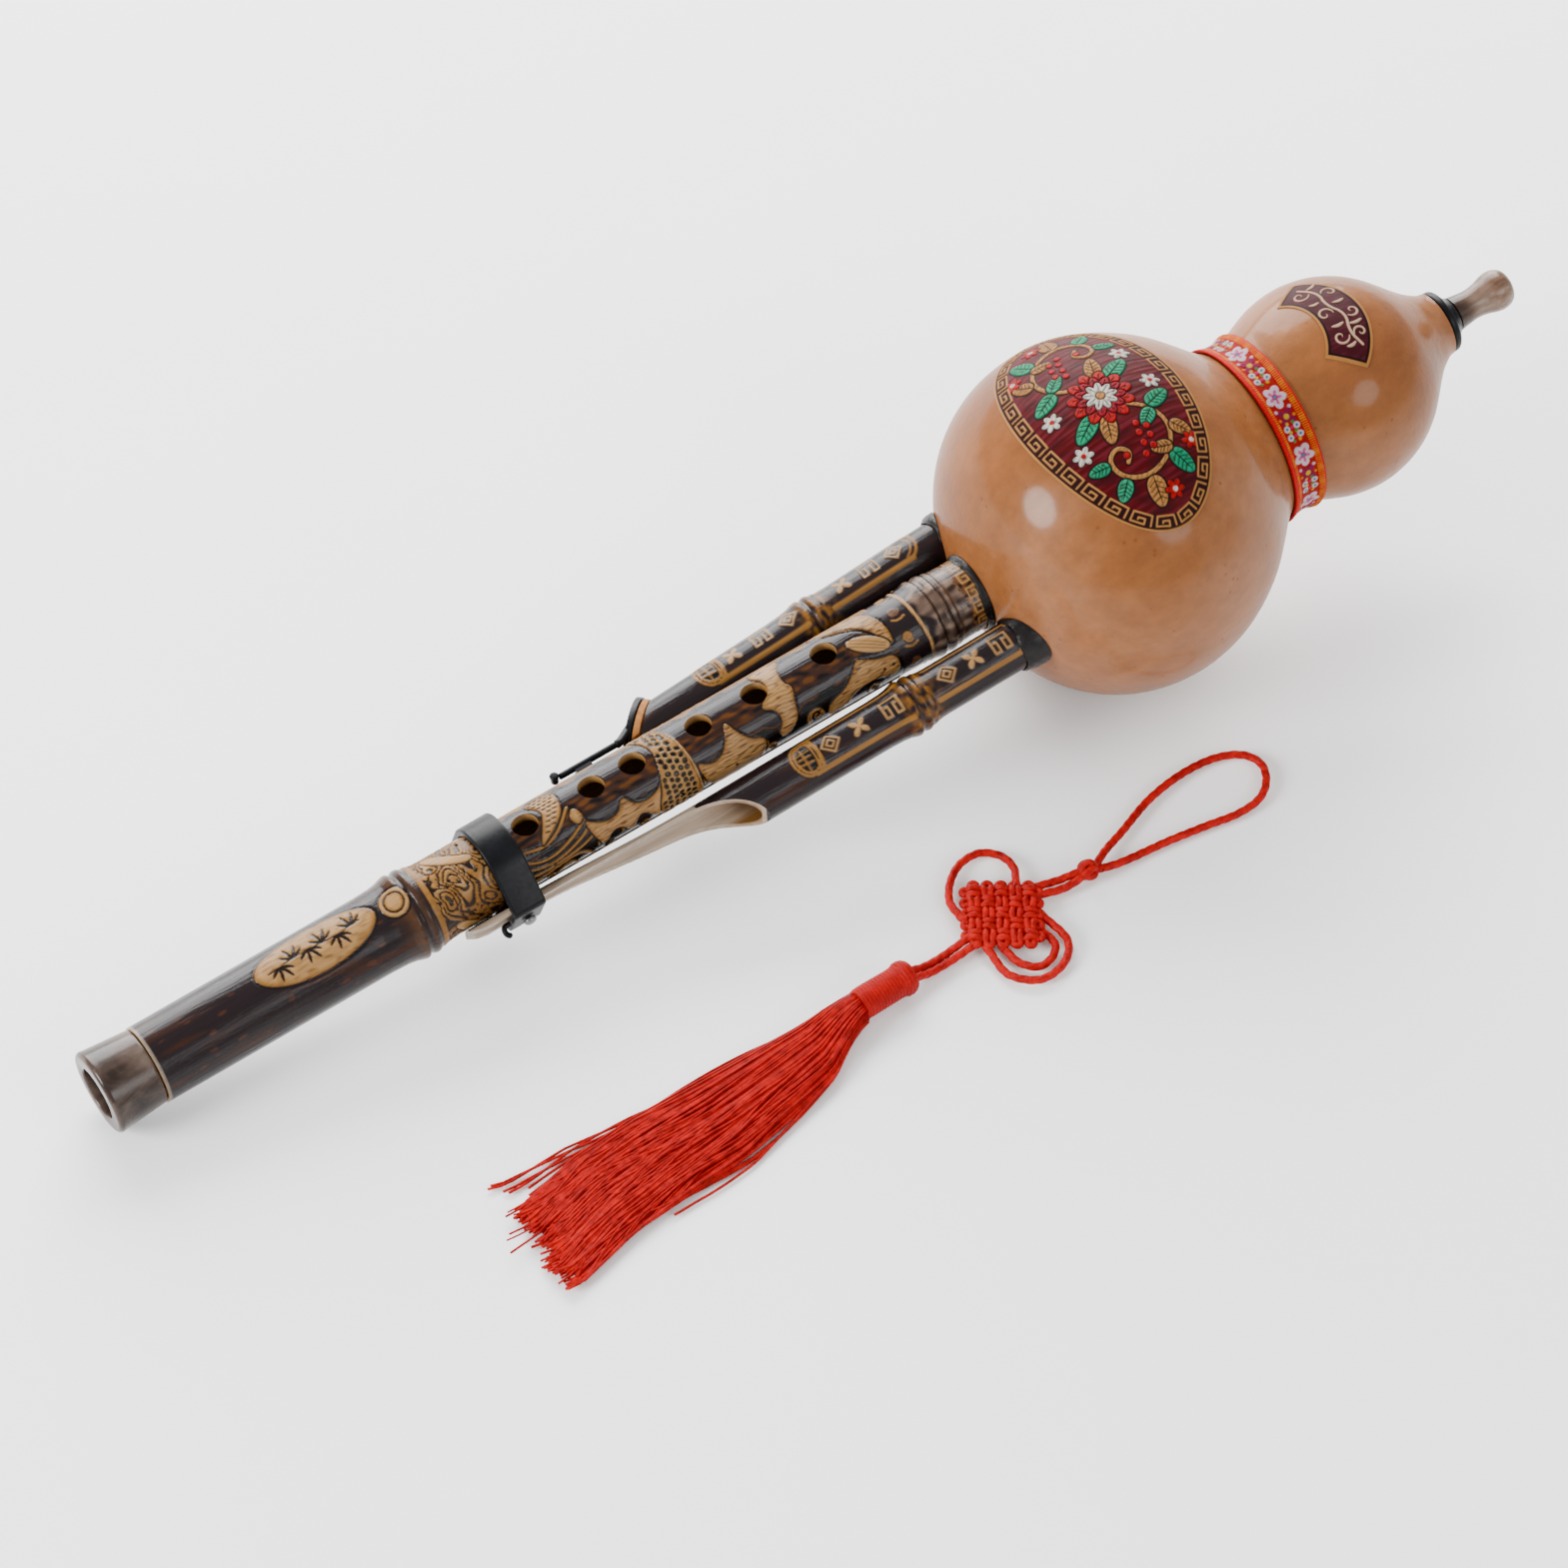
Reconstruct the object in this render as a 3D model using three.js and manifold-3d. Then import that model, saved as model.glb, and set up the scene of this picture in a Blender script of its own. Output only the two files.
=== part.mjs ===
// Hulusi: a gourd wind chest with one fingered melody pipe and two drones, and its red knotted
// tassel laid beside it. Millimetres, +Z up. Stations run along the instrument's own axis, from
// the lower end face of the ferrule (0) to the tip of the mouthpiece.
import * as THREE from 'three';
import { mergeVertices } from 'three/addons/utils/BufferGeometryUtils.js';
import Module from 'manifold-3d';

const wasm = await Module();
wasm.setup();

// Fits and facets
const clearance = 0.3;
const cutOverrun = 2;
const turnedSides = 32;
const droneSides = 20;
const smallSides = 16;
const holeSides = 12;
const wireSides = 10;
const curveSteps = 3;
const smallSteps = 6;

// Gourd wind chest
const bulbCentre = 328;
const bulbRadius = 51.1;
const bulbLowerLength = 46.6;
const bulbUpperLength = 50.25;
const waistStation = bulbCentre + bulbUpperLength;
const waistRadius = 24.7;
const crownRadius = 31.25;
const crownLowerLength = 24.5;
const crownUpperLength = 38.25;
const crownCentre = waistStation + crownLowerLength;
const neckEnd = crownCentre + crownUpperLength;
const neckRadius = 9.6;
const gourdWall = 3.4;

// Exponent of the gourd's round lower end, then how its radius changes from one form to the next
const bulbPower = 2.1;
const bulbFallShares = [
  [0, 1], [0.159, 0.968], [0.318, 0.884], [0.478, 0.736], [0.617, 0.553], [0.736, 0.339],
  [0.836, 0.147], [0.915, 0.038], [1, 0],
];
const crownRiseShares = [[0, 0], [0.235, 0.209], [0.439, 0.537], [0.684, 0.852], [1, 1]];
const neckFallShares = [
  [0, 1], [0.111, 0.987], [0.268, 0.924], [0.425, 0.801], [0.556, 0.639], [0.66, 0.463],
  [0.765, 0.272], [0.869, 0.112], [1, 0],
];

// Ribbon round the waist
const ribbonWidth = 10.8;
const ribbonThickness = 1.4;

// Mouthpiece and its collar
const collarFlangeRadius = 9.4;
const collarTopRadius = 5.3;
const collarHeight = 5.3;
const collarSpigotLength = 8;
const tenonRadius = 3.2;
const mouthpieceTenonLength = 9;
const mouthpieceLength = 19;
const mouthpieceRadius = 6;
const mouthpieceBore = 1.7;

// Melody pipe
const lowerPipeRadius = 11.4;
const upperPipeRadius = 10.55;
const pipeBore = 7.5;
const lowerNodeStation = 100.5;
const lowerNodeRise = 1.3;
const upperNodeDistance = 11.9;
const upperNodeStation = bulbCentre - bulbLowerLength - upperNodeDistance;
const upperNodeRise = 0.9;
const pipeNodeWidth = 4.2;
const pipeInnerEnd = 343;
const fingerHoleRadius = 3.7;
const fingerHoleStations = [136.6, 157.9, 171.1, 192.6, 210.8, 233.6];
const thumbHoleStation = 249;
const ventHoleStation = 84;
const ventHoleRadius = 3.2;
const cordHoleStation = 66;
const cordHoleRadius = 1.7;
const cordHoleTurn = 0.75;

// Ferrule at the lower end
const ferruleLength = 15.5;
const ferruleRadius = 12.3;
const ferruleBackRadius = 11;
const ferruleLip = 3.2;
const ferruleEdge = 1.4;
const pipeTenonRadius = 9.2;

// Drones
const droneRadius = 7.2;
const droneBore = 5.4;
const droneNodeRise = 1.3;
const droneNodeWidth = 3.6;
const droneInnerEnd = 341;
const droneLineStart = 195;
const droneLineEnd = 285;
const tongueTip = 109;
const tongueThickness = 3;
const tongueFree = 182;
const tongueTipLength = 6;
const nearTongueTurn = -0.41;
const nearNodeStation = 250;
const nearCutTurn = 0.35;
const nearCutStart = 168;
const nearCutEnd = 198;
const nearCutPower = 3;
const farTongueTurn = -0.75;
const farNodeStation = 243;
const farCutStart = 181.1;
const farCutTurn = 0.7;

// Clamp band
const bandStart = 121;
const bandWidth = 10;
const bandThickness = 1.9;
const bandBevel = 0.6;
const screwHeadRadius = 1.9;
const screwHeadHeight = 1.8;
const screwShankRadius = 0.9;
const screwLength = 4.2;
const hookRadius = 2.2;
const hookWire = 0.8;

// Seals where the pipes enter the gourd
const sealWall = 1.2;
const sealLength = 7;
const melodySealWall = 0.7;

// Reed sets
const reedStation = 325;
const reedPlateThickness = 0.6;
const reedTongueThickness = 0.25;
const reedSeatDepth = 1.2;
const plugInsert = 6;
const plugHead = 2.4;

// Valve of the far drone
const valveSlant = Math.PI / 4;
const padThickness = 1.8;
const corkThickness = 1.9;
const rodRadius = 0.95;
const rodLength = 17.5;
const rodTurn = 0.045;
const rodDistance = 14.1;
const corkGap = 0.5;
const padMargin = 0.4;
const padToeGap = 1;
const lugRadius = 1.3;
const lugLength = 2.4;
const armOut = 1;
const armUp = 5.2;
const knobRadius = 1.4;
const knobHeight = 3.2;
const knobLift = 0.55;
const guideStart = 160;
const guideLength = 5;
const guideWidth = 3;
const guideLift = -0.7;

// Tassel cord and knots
const cordRadius = 1.15;
const cordSides = 8;
const buttonKnotRadius = 3.2;
const knotHeight = 5.6;
const knotPitch = 3.8;
const knotPassRadius = 2;
const knotPasses = 5;
const knotSides = 6;
const headRadius = 4.7;
const headLength = 18.5;
const fringeFlutes = 12;
const fringeFluteDepth = 0.5;

// Where the tassel lies, as chosen points on the resting surface
const buttonPlace = [41.6, -72.2];
const knotPlace = [12.9, -72.2];
const knotTurn = -0.56;
const headStart = [-20.6, -77.4];
const headTurn = 0.08;
const loopRoute = [
  [45.2, -71.3, 2.8], [50, -68.4, 2], [58, -65, 1.4], [72, -59.2, 1.3], [85.9, -56.6, 1.3],
  [96.4, -57.2, 1.3], [103, -60.4, 1.3], [105.3, -65.4, 1.3], [103.2, -71, 1.3], [98, -75.3, 1.3],
  [90, -76.7, 1.3], [79.5, -75.6, 1.3], [67, -74.4, 1.3], [56, -74, 1.4], [50, -73.9, 2],
  [45.2, -73.4, 2.8],
];
const neckCordRoutes = [
  [[38.1, -71, 2.6], [33.4, -69.7, 2.2], [26.8, -68.9, 2.7]],
  [[38.1, -73.7, 2.6], [32.4, -74, 2.2], [26.1, -72.5, 2.7]],
];
const tailCordRoutes = [
  [[-0.6, -74.2, 2.7], [-9.5, -74.9, 1.5], [-15.5, -75.6, 2.4], [-19.8, -76.1, 4.4]],
  [[-0.5, -76.9, 2.5], [-9.5, -77.5, 1.5], [-15.5, -78.2, 2.4], [-19.8, -78.8, 4.4]],
];
const ringEarRoute = [
  [2.8, -66.4, 2.6], [3.6, -60.4, 1.7], [8, -54.2, 1.3], [14, -50.4, 1.3], [20.6, -50.2, 1.3],
  [25, -54.4, 1.3], [25.3, -59.8, 1.8], [22.8, -64.4, 2.6],
];
const innerEarRoute = [
  [7.1, -82.2, 1.8], [8.2, -87.6, 1.3], [12, -91.6, 1.3], [17, -90.8, 1.3], [20.2, -87.4, 1.3],
  [19.4, -82.1, 1.8],
];
const outerEarRoute = [
  [3.2, -79.9, 1.9], [3.4, -89.4, 1.3], [9.6, -95.4, 1.3], [18.2, -94.4, 1.3], [23.8, -88.4, 1.3],
  [22.5, -78.2, 2.1],
];
const fringeStations = [
  [-39.6, -79, 4.7, 4.7], [-47, -81, 6.6, 4.4], [-56, -84.2, 9, 3.7], [-70, -86.4, 10.6, 3.2],
  [-90, -89.4, 12.6, 2.8], [-110, -91, 13.4, 2.4], [-130, -94, 14, 2.1], [-150, -99.6, 14.6, 1.8],
];

// Helpers: closed meshes to solids and back
function signedVolume(position, index) {
  const [a, b, c] = [new THREE.Vector3(), new THREE.Vector3(), new THREE.Vector3()];
  let sum = 0;
  for (let i = 0; i < index.length; i += 3) {
    a.fromBufferAttribute(position, index[i]);
    b.fromBufferAttribute(position, index[i + 1]);
    c.fromBufferAttribute(position, index[i + 2]);
    sum += a.dot(b.cross(c));
  }
  return sum;
}

function toSolid(geometry) {
  const bare = new THREE.BufferGeometry();
  bare.setAttribute('position', geometry.getAttribute('position').clone());
  bare.setIndex(geometry.getIndex());
  const merged = mergeVertices(bare);
  const corners = merged.getIndex().array;
  const index = [];
  for (let i = 0; i < corners.length; i += 3) {
    const triangle = [corners[i], corners[i + 1], corners[i + 2]];
    if (new Set(triangle).size === 3) index.push(...triangle);
  }
  const position = merged.getAttribute('position');
  if (signedVolume(position, index) < 0) index.reverse();
  const vertProperties = new Float32Array(position.array);
  const triVerts = new Uint32Array(index);
  return new wasm.Manifold(new wasm.Mesh({ numProp: 3, vertProperties, triVerts }));
}

function toGeometry(solid) {
  const mesh = solid.getMesh();
  const geometry = new THREE.BufferGeometry();
  geometry.setAttribute('position', new THREE.BufferAttribute(mesh.vertProperties, 3));
  geometry.setIndex(new THREE.BufferAttribute(mesh.triVerts, 1));
  return geometry;
}

// Helpers: revolved, lofted and swept forms
function revolve(profile, sides = turnedSides) {
  const points = profile.map(([x, r]) => new THREE.Vector2(r, x));
  return new THREE.LatheGeometry(points, sides, Math.PI / sides).rotateZ(-Math.PI / 2);
}

function ring(profile, sides = turnedSides) {
  return revolve([...profile, profile[0]], sides);
}

function arc(x, r, radius, from, to, steps) {
  const points = [];
  for (let i = 0; i <= steps; i += 1) {
    const angle = from + ((to - from) * i) / steps;
    points.push([x + radius * Math.cos(angle), r + radius * Math.sin(angle)]);
  }
  return points;
}

function rod(radius, from, to, y, z, sides = smallSides) {
  const cylinder = new THREE.CylinderGeometry(radius, radius, to - from, sides);
  return cylinder.rotateZ(-Math.PI / 2).translate((from + to) / 2, y, z);
}

function block(length, width, height, x, y, z) {
  return new THREE.BoxGeometry(length, width, height).translate(x, y, z);
}

function loft(rings) {
  const count = rings[0].length;
  const vertices = rings.flat().flatMap((p) => [p.x, p.y, p.z]);
  const index = [];
  for (let i = 0; i + 1 < rings.length; i += 1) {
    for (let j = 0; j < count; j += 1) {
      const [a, b] = [i * count + j, i * count + ((j + 1) % count)];
      index.push(a, b, b + count, a, b + count, a + count);
    }
  }
  for (const [base, last] of [[0, false], [(rings.length - 1) * count, true]]) {
    const centre = new THREE.Vector3();
    const cap = last ? rings[rings.length - 1] : rings[0];
    cap.forEach((p) => centre.addScaledVector(p, 1 / count));
    const hub = vertices.length / 3;
    vertices.push(centre.x, centre.y, centre.z);
    for (let j = 0; j < count; j += 1) {
      const [a, b] = [base + j, base + ((j + 1) % count)];
      index.push(...(last ? [a, b, hub] : [b, a, hub]));
    }
  }
  const geometry = new THREE.BufferGeometry();
  geometry.setAttribute('position', new THREE.Float32BufferAttribute(vertices, 3));
  geometry.setIndex(index);
  return geometry;
}

function sweep(route, radius, steps, sides = cordSides) {
  const curve = new THREE.CatmullRomCurve3(route.map((p) => new THREE.Vector3(...p)));
  const section = new THREE.Shape();
  for (let i = 0; i < sides; i += 1) {
    const angle = (2 * Math.PI * (i + 0.5)) / sides;
    const [x, y] = [radius * Math.cos(angle), radius * Math.sin(angle)];
    if (i === 0) section.moveTo(x, y);
    else section.lineTo(x, y);
  }
  section.closePath();
  return new THREE.ExtrudeGeometry(section, { extrudePath: curve, steps, bevelEnabled: false });
}

function ease(x, from, to) {
  return THREE.MathUtils.smoothstep(x, from, to);
}

// Height at one share of a smooth curve through (share, height) pairs, level at both its ends
function follow(pairs, share) {
  const last = pairs.length - 1;
  let i = 0;
  while (i + 2 <= last && share > pairs[i + 1][0]) i += 1;
  const slope = (k) => {
    if (k === 0 || k === last) return 0;
    return (pairs[k + 1][1] - pairs[k - 1][1]) / (pairs[k + 1][0] - pairs[k - 1][0]);
  };
  const step = pairs[i + 1][0] - pairs[i][0];
  const t = THREE.MathUtils.clamp((share - pairs[i][0]) / step, 0, 1);
  const rise = pairs[i + 1][1] - pairs[i][1];
  const [start, end] = [slope(i) * step, slope(i + 1) * step];
  return pairs[i][1] + t * start + t * t * (3 * rise - 2 * start - end + t * (start + end - 2 * rise));
}

// The gourd's outline: a round lower end, then bulb, waist, crown and neck on one smooth line
function gourdRadius(x, inset = 0) {
  if (x < bulbCentre) {
    const t = (bulbCentre - x) / (bulbLowerLength - inset);
    return t < 1 ? (bulbRadius - inset) * (1 - t ** bulbPower) ** (1 / bulbPower) : 0;
  }
  if (x < waistStation) {
    const fall = follow(bulbFallShares, (x - bulbCentre) / bulbUpperLength);
    return waistRadius + (bulbRadius - waistRadius) * fall - inset;
  }
  if (x < crownCentre) {
    const rise = follow(crownRiseShares, (x - waistStation) / crownLowerLength);
    return waistRadius + (crownRadius - waistRadius) * rise - inset;
  }
  const fall = follow(neckFallShares, (x - crownCentre) / crownUpperLength);
  return neckRadius + (crownRadius - neckRadius) * fall - inset;
}

function ribbonEdges() {
  return [waistStation - ribbonWidth / 2, waistStation + ribbonWidth / 2];
}

function spread(from, to, steps) {
  const stations = [];
  for (let i = 0; i <= steps; i += 1) stations.push(from + ((to - from) * i) / steps);
  return stations;
}

function gourdStations(inset, rows) {
  const half = bulbLowerLength - inset;
  const quarter = spread(0, Math.PI / 2, rows.bulb);
  const stations = quarter.map((angle) => bulbCentre - half * Math.cos(angle));
  const [from, to] = ribbonEdges();
  stations.push(...spread(bulbCentre, from, rows.shoulder).slice(1));
  stations.push(...spread(from, to, rows.waist).slice(1));
  stations.push(...spread(to, crownCentre, rows.crown).slice(1));
  stations.push(...spread(crownCentre, neckEnd, rows.neck).slice(1));
  return stations;
}

function gourdOutline(inset, rows) {
  return gourdStations(inset, rows).map((x, i) => [x, i === 0 ? 0 : gourdRadius(x, inset)]);
}

// Outline of the melody pipe: full below the band, then slimmer, with two bamboo nodes
function bump(x, station, width) {
  return Math.exp(-(((x - station) / width) ** 2));
}

function pipeRadius(x) {
  const slim = (lowerPipeRadius - upperPipeRadius) * ease(x, bandStart, bandStart + bandWidth);
  const lower = lowerNodeRise * bump(x, lowerNodeStation, pipeNodeWidth);
  const upper = upperNodeRise * bump(x, upperNodeStation, pipeNodeWidth);
  return lowerPipeRadius - slim + lower + upper;
}

// The two drones: side of the axis, where they stand beside it, and how their mouth is cut
const nearDrone = {
  side: -1,
  start: [18.3, -8],
  end: [20.5, -2.5],
  nodeStation: nearNodeStation,
  tongueTurn: nearTongueTurn,
  cutTurn: nearCutTurn,
  cutStart: nearCutStart,
  cutEnd: nearCutEnd,
  cutPower: nearCutPower,
};
const farDrone = {
  side: 1,
  start: [17.5, -6.3],
  end: [20.6, -2.5],
  nodeStation: farNodeStation,
  tongueTurn: farTongueTurn,
  cutTurn: farCutTurn,
  cutStart: farCutStart,
  cutEnd: farCutStart + (2 * droneRadius - tongueThickness) / Math.tan(valveSlant),
  cutPower: 1,
};

// Centre of a drone's section and its outward direction, at one station
function droneFrame(drone, x) {
  const along = (x - droneLineStart) / (droneLineEnd - droneLineStart);
  const line = drone.start.map((value, i) => value + (drone.end[i] - value) * along);
  const seat = lowerPipeRadius + clearance + droneRadius;
  const clamped = [seat * Math.cos(drone.tongueTurn), seat * Math.sin(drone.tongueTurn)];
  const free = ease(x, bandStart + bandWidth, tongueFree);
  const [out, up] = clamped.map((value, i) => value + (line[i] - value) * free);
  const turn = drone.tongueTurn + drone.cutTurn * free;
  return { y: drone.side * out, z: up, turn, side: drone.side };
}

// A point of the section, given by its outward and upward offsets from the centre
function dronePoint(frame, x, out, up) {
  const y = out * Math.cos(frame.turn) - up * Math.sin(frame.turn);
  const z = out * Math.sin(frame.turn) + up * Math.cos(frame.turn);
  return new THREE.Vector3(x, frame.y + frame.side * y, frame.z + z);
}

// Height of what is left of the drone's wall, above its innermost line
const tipShare = 0.45;

function mouthLevel(drone, x) {
  if (x > drone.cutStart) {
    const share = (x - drone.cutStart) / (drone.cutEnd - drone.cutStart);
    return tongueThickness + (2 * droneRadius - tongueThickness) * share ** drone.cutPower;
  }
  const tip = THREE.MathUtils.clamp((x - tongueTip) / tongueTipLength, 0, 1);
  return tongueThickness * (tipShare + (1 - tipShare) * Math.sqrt(tip));
}

// Straight local axis of a drone beyond its tongue, leaned into place
function droneLean(drone) {
  const span = droneLineEnd - droneLineStart;
  const leanY = (drone.side * (drone.end[0] - drone.start[0])) / span;
  const leanZ = (drone.end[1] - drone.start[1]) / span;
  const lean = new THREE.Matrix4();
  lean.set(
    1, 0, 0, 0,
    leanY, 1, 0, drone.side * drone.start[0] - leanY * droneLineStart,
    leanZ, 0, 1, drone.start[1] - leanZ * droneLineStart,
    0, 0, 0, 1,
  );
  return lean;
}

function droneRings(drone, stations, radius) {
  return stations.map((x) => {
    const frame = droneFrame(drone, x);
    const points = [];
    for (let j = 0; j < droneSides; j += 1) {
      const angle = (2 * Math.PI * (j + 0.5)) / droneSides;
      const r = radius(x);
      points.push(dronePoint(frame, x, r * Math.cos(angle), r * Math.sin(angle)));
    }
    return points;
  });
}

const mouthSteps = 8;
const tongueSteps = 5;
const nodeShares = [-1.9, -0.9, -0.4, 0.4, 0.9, 1.9];

function tongueStations() {
  const stations = [tongueTip, tongueTip + tongueTipLength / 2, tongueTip + tongueTipLength];
  const bandEnd = bandStart + bandWidth;
  for (let i = 0; i <= tongueSteps; i += 1) {
    stations.push(bandEnd + ((tongueFree - bandEnd) * i) / tongueSteps);
  }
  return stations;
}

function mouthCutter(drone) {
  const mouth = [];
  for (let i = 0; i <= mouthSteps; i += 1) {
    mouth.push(drone.cutStart + ((drone.cutEnd - drone.cutStart) * i) / mouthSteps);
  }
  const lead = tongueStations().filter((x) => x < drone.cutStart);
  const reach = droneRadius + cutOverrun;
  const rings = [tongueTip - cutOverrun, ...lead, ...mouth].map((x) => {
    const frame = droneFrame(drone, x);
    const floor = mouthLevel(drone, x) - droneRadius;
    const corners = [[floor, -reach], [reach, -reach], [reach, reach], [floor, reach]];
    return corners.map(([out, up]) => dronePoint(frame, x, out, up));
  });
  return toSolid(loft(rings));
}

// Reed sets: a seat milled on the pipe inside the gourd, a slotted brass plate and its tongue
const melodyReed = { plate: [24, 7.6], slot: [16.6, 2.8], window: [19, 4] };
const droneReed = { plate: [20, 6.4], slot: [13.6, 2.4], window: [16, 3.4] };

function reedSeat(radius, reed) {
  const height = radius + cutOverrun;
  const floor = radius - reedSeatDepth;
  const [length, width] = [reed.plate[0] + 2 * clearance, 2 * height];
  const seat = toSolid(block(length, width, height, reedStation, 0, floor + height / 2));
  const [windowLength, windowWidth] = reed.window;
  return seat.add(toSolid(block(windowLength, windowWidth, height, reedStation, 0, height / 2)));
}

function reedHeight(radius) {
  return radius - reedSeatDepth + clearance + reedPlateThickness / 2;
}

function reedPlate(radius, reed) {
  const z = reedHeight(radius);
  const plate = toSolid(block(reed.plate[0], reed.plate[1], reedPlateThickness, reedStation, 0, z));
  const slot = block(reed.slot[0], reed.slot[1], reedPlateThickness + cutOverrun, reedStation, 0, z);
  return toGeometry(plate.subtract(toSolid(slot)));
}

function reedTongue(radius, reed) {
  const [length, width] = reed.slot.map((size) => size - 2 * clearance);
  return block(length, width, reedTongueThickness, reedStation, 0, reedHeight(radius));
}

function endPlug(radius, bore, end) {
  const insert = bore - clearance;
  const face = end + clearance;
  const head = face + plugHead;
  return revolve([
    [end - plugInsert, 0], [end - plugInsert, insert], [face, insert], [face, radius],
    [head - plugHead / 3, radius], [head, insert], [head, 0],
  ], droneSides);
}

// Gourd
const gourdOuterRows = { bulb: 6, shoulder: 5, waist: 2, crown: 3, neck: 6 };
const gourdInnerRows = { bulb: 4, shoulder: 3, waist: 2, crown: 2, neck: 3 };

function gourdSkin() {
  const outline = gourdOutline(-clearance, gourdOuterRows);
  return toSolid(revolve([...outline, [neckEnd, 0]]));
}

function droneSleeve(drone, radius, from, to) {
  return toSolid(rod(radius, from, to, 0, 0, droneSides).applyMatrix4(droneLean(drone)));
}

function gourdShell() {
  const outer = gourdOutline(0, gourdOuterRows);
  const inner = gourdOutline(gourdWall, gourdInnerRows).reverse();
  let shell = toSolid(revolve([...outer, ...inner]));
  const [from, to] = [bulbCentre - bulbLowerLength - cutOverrun, bulbCentre];
  shell = shell.subtract(toSolid(revolve(
    [[from, 0], [from, upperPipeRadius + clearance], [to, upperPipeRadius + clearance], [to, 0]],
  )));
  for (const drone of [nearDrone, farDrone]) {
    shell = shell.subtract(droneSleeve(drone, droneRadius + clearance, from, to));
  }
  return toGeometry(shell);
}

function waistRibbon() {
  const stations = spread(...ribbonEdges(), gourdOuterRows.waist);
  const inside = stations.map((x) => [x, gourdRadius(x, -clearance) + clearance / 4]);
  const outside = inside.map(([x, r]) => [x, r + ribbonThickness]).reverse();
  return toGeometry(toSolid(ring([...inside, ...outside])));
}

// Mouthpiece
const collarCurveShares = [[0.35, 1], [0.6, 0.5], [0.8, 0.18], [1, 0]];
const mouthpieceShares = [
  [0, 0.86], [0.16, 0.79], [0.34, 0.74], [0.52, 0.82], [0.66, 0.95], [0.77, 1], [0.87, 0.95],
  [0.95, 0.8], [0.99, 0.6],
];

function mouthpieceCollar() {
  const hole = tenonRadius + clearance;
  const spigot = neckRadius - gourdWall - clearance;
  const face = neckEnd + clearance;
  const start = neckEnd - collarSpigotLength;
  const top = collarCurveShares.map(([along, out]) => [
    face + collarHeight * along,
    collarTopRadius + (collarFlangeRadius - collarTopRadius) * out,
  ]);
  return toGeometry(toSolid(ring([
    [start, hole], [start, spigot], [face, spigot], [face, collarFlangeRadius], ...top,
    [face + collarHeight, hole],
  ], smallSides)));
}

function mouthpieceStart() {
  return neckEnd + 2 * clearance + collarHeight;
}

function mouthpiece() {
  const start = mouthpieceStart();
  const body = mouthpieceShares.map(([along, out]) => [
    start + mouthpieceLength * along,
    mouthpieceRadius * out,
  ]);
  const tenon = start - mouthpieceTenonLength;
  return toGeometry(toSolid(ring([
    [tenon, mouthpieceBore], [tenon, tenonRadius], [start, tenonRadius], ...body,
    [start + mouthpieceLength, mouthpieceBore],
  ], smallSides)));
}

// Melody pipe
const lowerNodeShares = [-1.9, -0.9, -0.4, 0.4, 0.9, 1.9];
const upperNodeShares = [-1.7, -0.5, 0.5, 1.7];

function melodyPipe() {
  const shoulder = ferruleLength + clearance;
  const tenonStart = ferruleLip + clearance;
  const bandEnd = bandStart + bandWidth;
  const stations = [
    shoulder, ...lowerNodeShares.map((share) => lowerNodeStation + pipeNodeWidth * share),
    bandStart, bandStart + bandWidth / 2, bandEnd,
    ...upperNodeShares.map((share) => upperNodeStation + pipeNodeWidth * share), pipeInnerEnd,
  ];
  let pipe = toSolid(ring([
    [tenonStart, pipeBore], [tenonStart, pipeTenonRadius], [shoulder, pipeTenonRadius],
    ...stations.map((x) => [x, pipeRadius(x)]), [pipeInnerEnd, pipeBore],
  ]));
  for (const cutter of [...fingerHoles(), ...backHoles()]) pipe = pipe.subtract(toSolid(cutter));
  return toGeometry(pipe.subtract(reedSeat(upperPipeRadius, melodyReed)));
}

function radialHole(x, radius, turn) {
  const depth = lowerPipeRadius + lowerNodeRise + cutOverrun;
  const hole = rod(radius, 0, depth, 0, 0, holeSides).rotateY(-Math.PI / 2).rotateX(turn);
  return hole.translate(x, 0, 0);
}

function fingerHoles() {
  return fingerHoleStations.map((x) => radialHole(x, fingerHoleRadius, 0));
}

function backHoles() {
  return [
    radialHole(thumbHoleStation, fingerHoleRadius, Math.PI),
    radialHole(ventHoleStation, ventHoleRadius, Math.PI),
    radialHole(cordHoleStation, cordHoleRadius, Math.PI - cordHoleTurn),
    radialHole(cordHoleStation, cordHoleRadius, Math.PI + cordHoleTurn),
  ];
}

function endFerrule() {
  const quarter = Math.PI / 2;
  const socket = pipeTenonRadius + clearance;
  const corner = ferruleRadius - ferruleEdge;
  const edge = arc(ferruleEdge, corner, ferruleEdge, 2 * quarter, quarter, curveSteps);
  return toGeometry(toSolid(ring([
    [0, pipeBore], ...edge, [ferruleLength, ferruleBackRadius], [ferruleLength, socket],
    [ferruleLip, socket], [ferruleLip, pipeBore],
  ])));
}

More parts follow.
